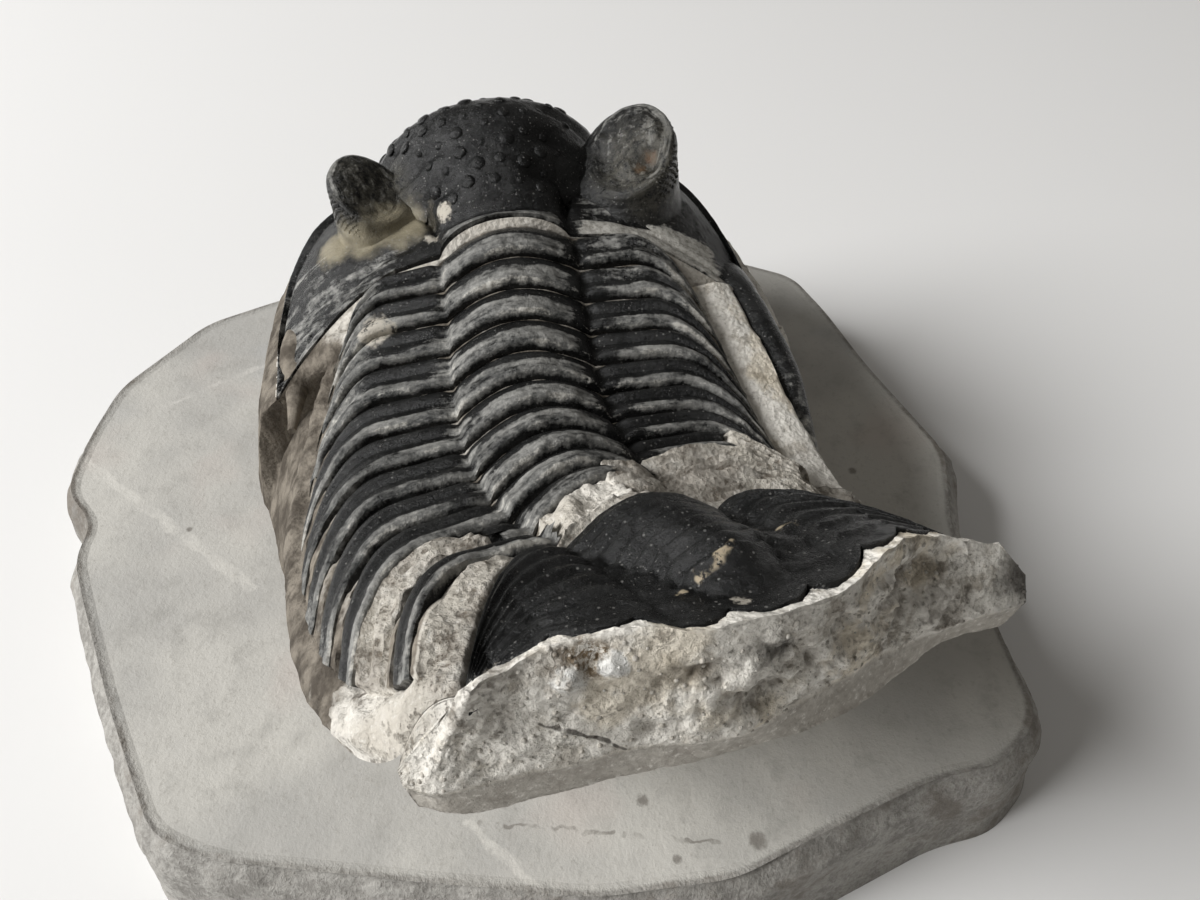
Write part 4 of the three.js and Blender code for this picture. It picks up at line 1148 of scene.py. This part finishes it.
# %% The slab
SLAB_HEIGHT = 11.0
SLAB_LEVELS = ((0, 1.5), (8.8, 0.2), (11, -1.4))
OUTLINE = np.array([
    [-26, -33.8], [-21, -35.7], [-4.6, -37.4], [8.3, -38.4], [18.8, -37], [26, -33.5], [35, -29.4],
    [40.7, -28.1], [44.8, -24.2], [43.8, -15.2], [42.4, -5], [44, 4.6], [38.1, 17.6], [35, 26],
    [31.9, 32.3], [25.8, 35], [8.3, 38.9], [-11.3, 36.7], [-30, 27.9], [-37, 23.9], [-43.7, 13.6],
    [-44.6, 6.5], [-44.5, -0.4], [-40.6, -4.6], [-41, -8.4], [-38.4, -13.4], [-33, -23], [-28.4, -30.2]])


def slab_edge(count):
    closed = np.vstack([OUTLINE, OUTLINE[:1]])
    length = np.concatenate([[0], np.cumsum(np.linalg.norm(np.diff(closed, axis=0), axis=1))])
    spot = np.linspace(0, length[-1], count, endpoint=False)
    edge = np.stack([np.interp(spot, length, closed[:, k]) for k in range(2)], -1)
    return sum(np.roll(edge, shift, axis=0) for shift in range(-3, 4)) / 7


def make_slab():
    edge = slab_edge(460)
    away = np.linalg.norm(edge, axis=1)
    heights = np.concatenate([np.linspace(0, 8.8, 22), np.linspace(8.8, 11, 9)[1:]])
    out = np.interp(heights, [z for z, _ in SLAB_LEVELS], [o for _, o in SLAB_LEVELS])
    side = edge[None] * (1 + out[:, None, None] / away[None, :, None])
    side = np.concatenate([side, np.broadcast_to(heights[:, None, None], side.shape[:2] + (1,))], -1)
    bumps = 0.8 * rough(side, 5.0, 101, 3) + 0.45 * rough(side, 2.0, 102, 4) - 0.25
    bevel = smooth(8.2, 9.4, side[..., 2])
    push = bumps * (0.45 + 0.55 * bevel) * smooth(0, 1.5, side[..., 2]) * smooth(11, 10.8, side[..., 2])
    side[..., :2] += side[..., :2] / away[None, :, None] * push[..., None]
    shrink = np.linspace(1, 0.02, 44)[1:, None, None]
    top = side[-1][None] * shrink
    top[..., 2] = SLAB_HEIGHT
    top[..., 2] += (0.10 * rough(top, 9.0, 103, 3) + 0.05 * rough(top, 1.5, 104, 3)) * (1 - shrink[..., 0] ** 20)
    rings = np.concatenate([side, top])
    sides = np.concatenate([np.ones(side.shape[:2]), np.zeros(top.shape[:2])])
    skin = Skin()
    skin.grid(rings, marks_of(0.0, 0.0, sides), wrap=True, caps=True)
    return skin.make("stone_slab", [slab_material], crease=40)


slab = make_slab()
print("slab made")

# %% [markdown]
# Three things repeat by a rule: low tubercles on the glabella, lenses in staggered rows on
# the eyes and loose grains on the broken stone. One Geometry Nodes tree makes all of them.
# It takes the patch's own points where they stand in rows, or else scatters points over it
# at a given spacing, and sets a small rounded grain on each.

# %% Grains by Geometry Nodes
def scatter_tree():
    tree = bpy.data.node_groups.new("scatter_grains", "GeometryNodeTree")
    sockets = {}
    for label, kind in (("Patch", "Geometry"), ("In rows", "Bool"), ("Spacing", "Float"),
                        ("Seed", "Int"), ("Smallest", "Float"), ("Largest", "Float"),
                        ("Shape", "Vector"), ("Detail", "Int"), ("Finish", "Material")):
        socket = tree.interface.new_socket(label, in_out="INPUT", socket_type="NodeSocket" + kind)
        sockets[label] = socket.identifier
    tree.interface.new_socket("Grains", in_out="OUTPUT", socket_type="NodeSocketGeometry")
    given, result = (tree.nodes.new("NodeGroup" + side) for side in ("Input", "Output"))

    def step(kind, output, links, **settings):
        node = tree.nodes.new(kind)
        for key, value in settings.items():
            setattr(node, key, value)
        for key, value in links.items():
            if isinstance(value, str):
                value = given.outputs[value]
            if isinstance(value, bpy.types.NodeSocket):
                tree.links.new(value, node.inputs[key])
            else:
                node.inputs[key].default_value = value
        return node.outputs[output]

    wanted = step("GeometryNodeInputNamedAttribute", "Attribute", {}, data_type="FLOAT")
    wanted.node.inputs["Name"].default_value = "grain"
    spread = step("GeometryNodeDistributePointsOnFaces", "Points", {
        "Mesh": "Patch", "Distance Min": "Spacing", "Density Max": 2.0e7,
        "Density Factor": wanted, "Seed": "Seed"}, distribute_method="POISSON")
    rows = step("GeometryNodeMeshToPoints", "Points", {"Mesh": "Patch"})
    points = step("GeometryNodeSwitch", "Output", {"Switch": "In rows", "False": spread, "True": rows},
                  input_type="GEOMETRY")
    ball = step("GeometryNodeMeshIcoSphere", "Mesh", {"Subdivisions": "Detail", "Radius": 1.0})
    size = step("FunctionNodeRandomValue", 1, {2: "Smallest", 3: "Largest", "Seed": "Seed"})
    scale = step("ShaderNodeVectorMath", "Vector", {0: "Shape", "Scale": size}, operation="SCALE")
    placed = step("GeometryNodeInstanceOnPoints", "Instances", {
        "Points": points, "Instance": ball, "Scale": scale, "Rotation": spread.node.outputs["Rotation"]})
    real = step("GeometryNodeRealizeInstances", "Geometry", {"Geometry": placed})
    real = step("GeometryNodeSetShadeSmooth", "Geometry", {"Geometry": real})
    painted = step("GeometryNodeSetMaterial", "Geometry", {"Geometry": real, "Material": "Finish"})
    tree.links.new(painted, result.inputs["Grains"])
    return tree, sockets


def scatter(name, patch, tree, sockets, values):
    modifier = patch.modifiers.new("grains", "NODES")
    modifier.node_group = tree
    for label, value in values.items():
        modifier[sockets[label]] = value
    ready = patch.evaluated_get(bpy.context.evaluated_depsgraph_get())
    mesh = bpy.data.meshes.new_from_object(ready)
    patch.modifiers.remove(modifier)
    bpy.data.objects.remove(patch)
    piece = bpy.data.objects.new(name, mesh)
    bpy.context.scene.collection.objects.link(piece)
    print(name, "has", sum(len(p.vertices) - 2 for p in mesh.polygons), "triangles")
    return piece


def glabella_patch():
    across, along = np.linspace(-0.48, 0.48, 60)[:, None], np.linspace(0.16, 0.86, 60)[None, :]
    right, forward = head_place(across, along)
    inside = 1 - smooth(0.8, 0.92, np.abs(right) / glabella_half(forward))
    flat = head_point(across, along, 0.0)
    lift = head_relief(across, along, flat) - 0.03
    skin = Skin()
    skin.grid(head_point(across, along, lift), marks_of(0.0, 0.0, inside))
    return skin.make("glabella_patch", [shell_material])


def lens_rows():
    row, column = np.meshgrid(np.arange(8), np.arange(19), indexing="ij")
    turn = -1.2 + 0.15 * (column + 0.5 * (row % 2))
    place_on_side = 0.20 + 0.035 * row
    skin = Skin()
    for eye in EYES:
        points = eye_point(eye, turn, place_on_side)
        axis = place(HEAD, eye[0], -eye[1], 0.0)
        away = (points - axis) * np.array([1, 1, 0])
        away = away / np.linalg.norm(away, axis=-1, keepdims=True)
        skin.add(points - 0.10 * away, [])
    return skin.make("lens_rows", [shell_material])


def stone_patch():
    grid, marks = rough_sheet()
    marks = marks * np.array([0, 0, 1, 0, 0]) - np.array([0, 0, 0.62, 0, 0])
    skin = Skin()
    skin.grid(grid[sheet_ends[3]:], marks[sheet_ends[3]:])
    return skin.make("stone_patch", [stone_material])


tree, sockets = scatter_tree()
tubercles = scatter("glabella_tubercles", glabella_patch(), tree, sockets, {
    "Spacing": 0.0018, "Seed": 3, "Smallest": 0.00032, "Largest": 0.00066, "Shape": (1.0, 1.0, 0.36),
    "Detail": 2, "Finish": shell_material})
lenses = scatter("eye_lenses", lens_rows(), tree, sockets, {
    "In rows": True, "Seed": 5, "Smallest": 0.00018, "Largest": 0.00020, "Shape": (1.0, 1.0, 1.0),
    "Detail": 1, "Finish": shell_material})
grains = scatter("stone_grains", stone_patch(), tree, sockets, {
    "Spacing": 0.00042, "Seed": 7, "Smallest": 0.00005, "Largest": 0.00018, "Shape": (1.0, 1.0, 0.6),
    "Detail": 1, "Finish": stone_material})

# %% [markdown]
# Every piece is still, so all of them ride on the one body. Each says which solid it stands
# for and which finish it has.

# %% Say what each piece stands for
pieces = [(piece, node, "fossil_shell") for piece, node in plates]
pieces += [(head, "cephalon", "fossil_shell"), (tubercles, "cephalon", "fossil_shell"),
           (lenses, "cephalon", "fossil_shell"), (tail, "pygidium", "fossil_shell"),
           (pedestal, "matrix", "limestone"), (slab, "matrix", "limestone"),
           (grains, "matrix", "limestone")]
for piece, node, finish in pieces:
    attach(piece, "root")
    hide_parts(node)
print(len(pieces), "pieces placed")

# %% [markdown]
# The specimen stands on plain off-white card. One large soft light, like a window, comes
# from the left and a little from the front, and the room fills the shadows.

# %% Floor, lights and camera
def plain(name, tint, roughness):
    paint = Paint(name)
    base = paint.blend(paint.cloud(30.0, 2), tint, tuple(0.985 * part for part in tint))
    return paint.finish(base, roughness, paint.cloud(1.0, 2), 0.01)


def make_floor():
    mesh = bpy.data.meshes.new("floor")
    mesh.from_pydata([(-2, -2, 0), (2, -2, 0), (2, 2, 0), (-2, 2, 0)], [], [(0, 1, 2, 3)])
    mesh.materials.append(plain("card", (0.80, 0.795, 0.785), 0.9))
    floor = bpy.data.objects.new("floor", mesh)
    bpy.context.scene.collection.objects.link(floor)


def make_light(name, where, aim, size, power):
    data = bpy.data.lights.new(name, "AREA")
    data.shape, data.size, data.energy = "DISK", size, power
    light = bpy.data.objects.new(name, data)
    light.location = where
    light.rotation_euler = (Vector(aim) - Vector(where)).to_track_quat("-Z", "Y").to_euler()
    bpy.context.scene.collection.objects.link(light)


def make_camera():
    data = bpy.data.cameras.new("camera")
    data.lens, data.sensor_width = 28.26, 36.0
    data.clip_start = 0.01
    camera = bpy.data.objects.new("camera", data)
    camera.location = (0.00825, -0.05575, 0.083)
    camera.rotation_euler = (math.radians(40), 0, 0)
    bpy.context.scene.collection.objects.link(camera)
    bpy.context.scene.camera = camera


make_floor()
make_light("key", (-0.69, -0.16, 0.56), (0, 0, 0.02), 0.50, 11.6)
make_light("fill", (-0.60, 0.40, 0.30), (0, 0, 0.03), 0.40, 0.3)
make_camera()
world = bpy.data.worlds.new("room")
world.use_nodes = True
world.node_tree.nodes["Background"].inputs["Color"].default_value = (1.0, 0.96, 0.90, 1)
world.node_tree.nodes["Background"].inputs["Strength"].default_value = 0.16
bpy.context.scene.world = world
bpy.context.scene.view_settings.view_transform = "Standard"
print("camera at", tuple(bpy.context.scene.camera.location))
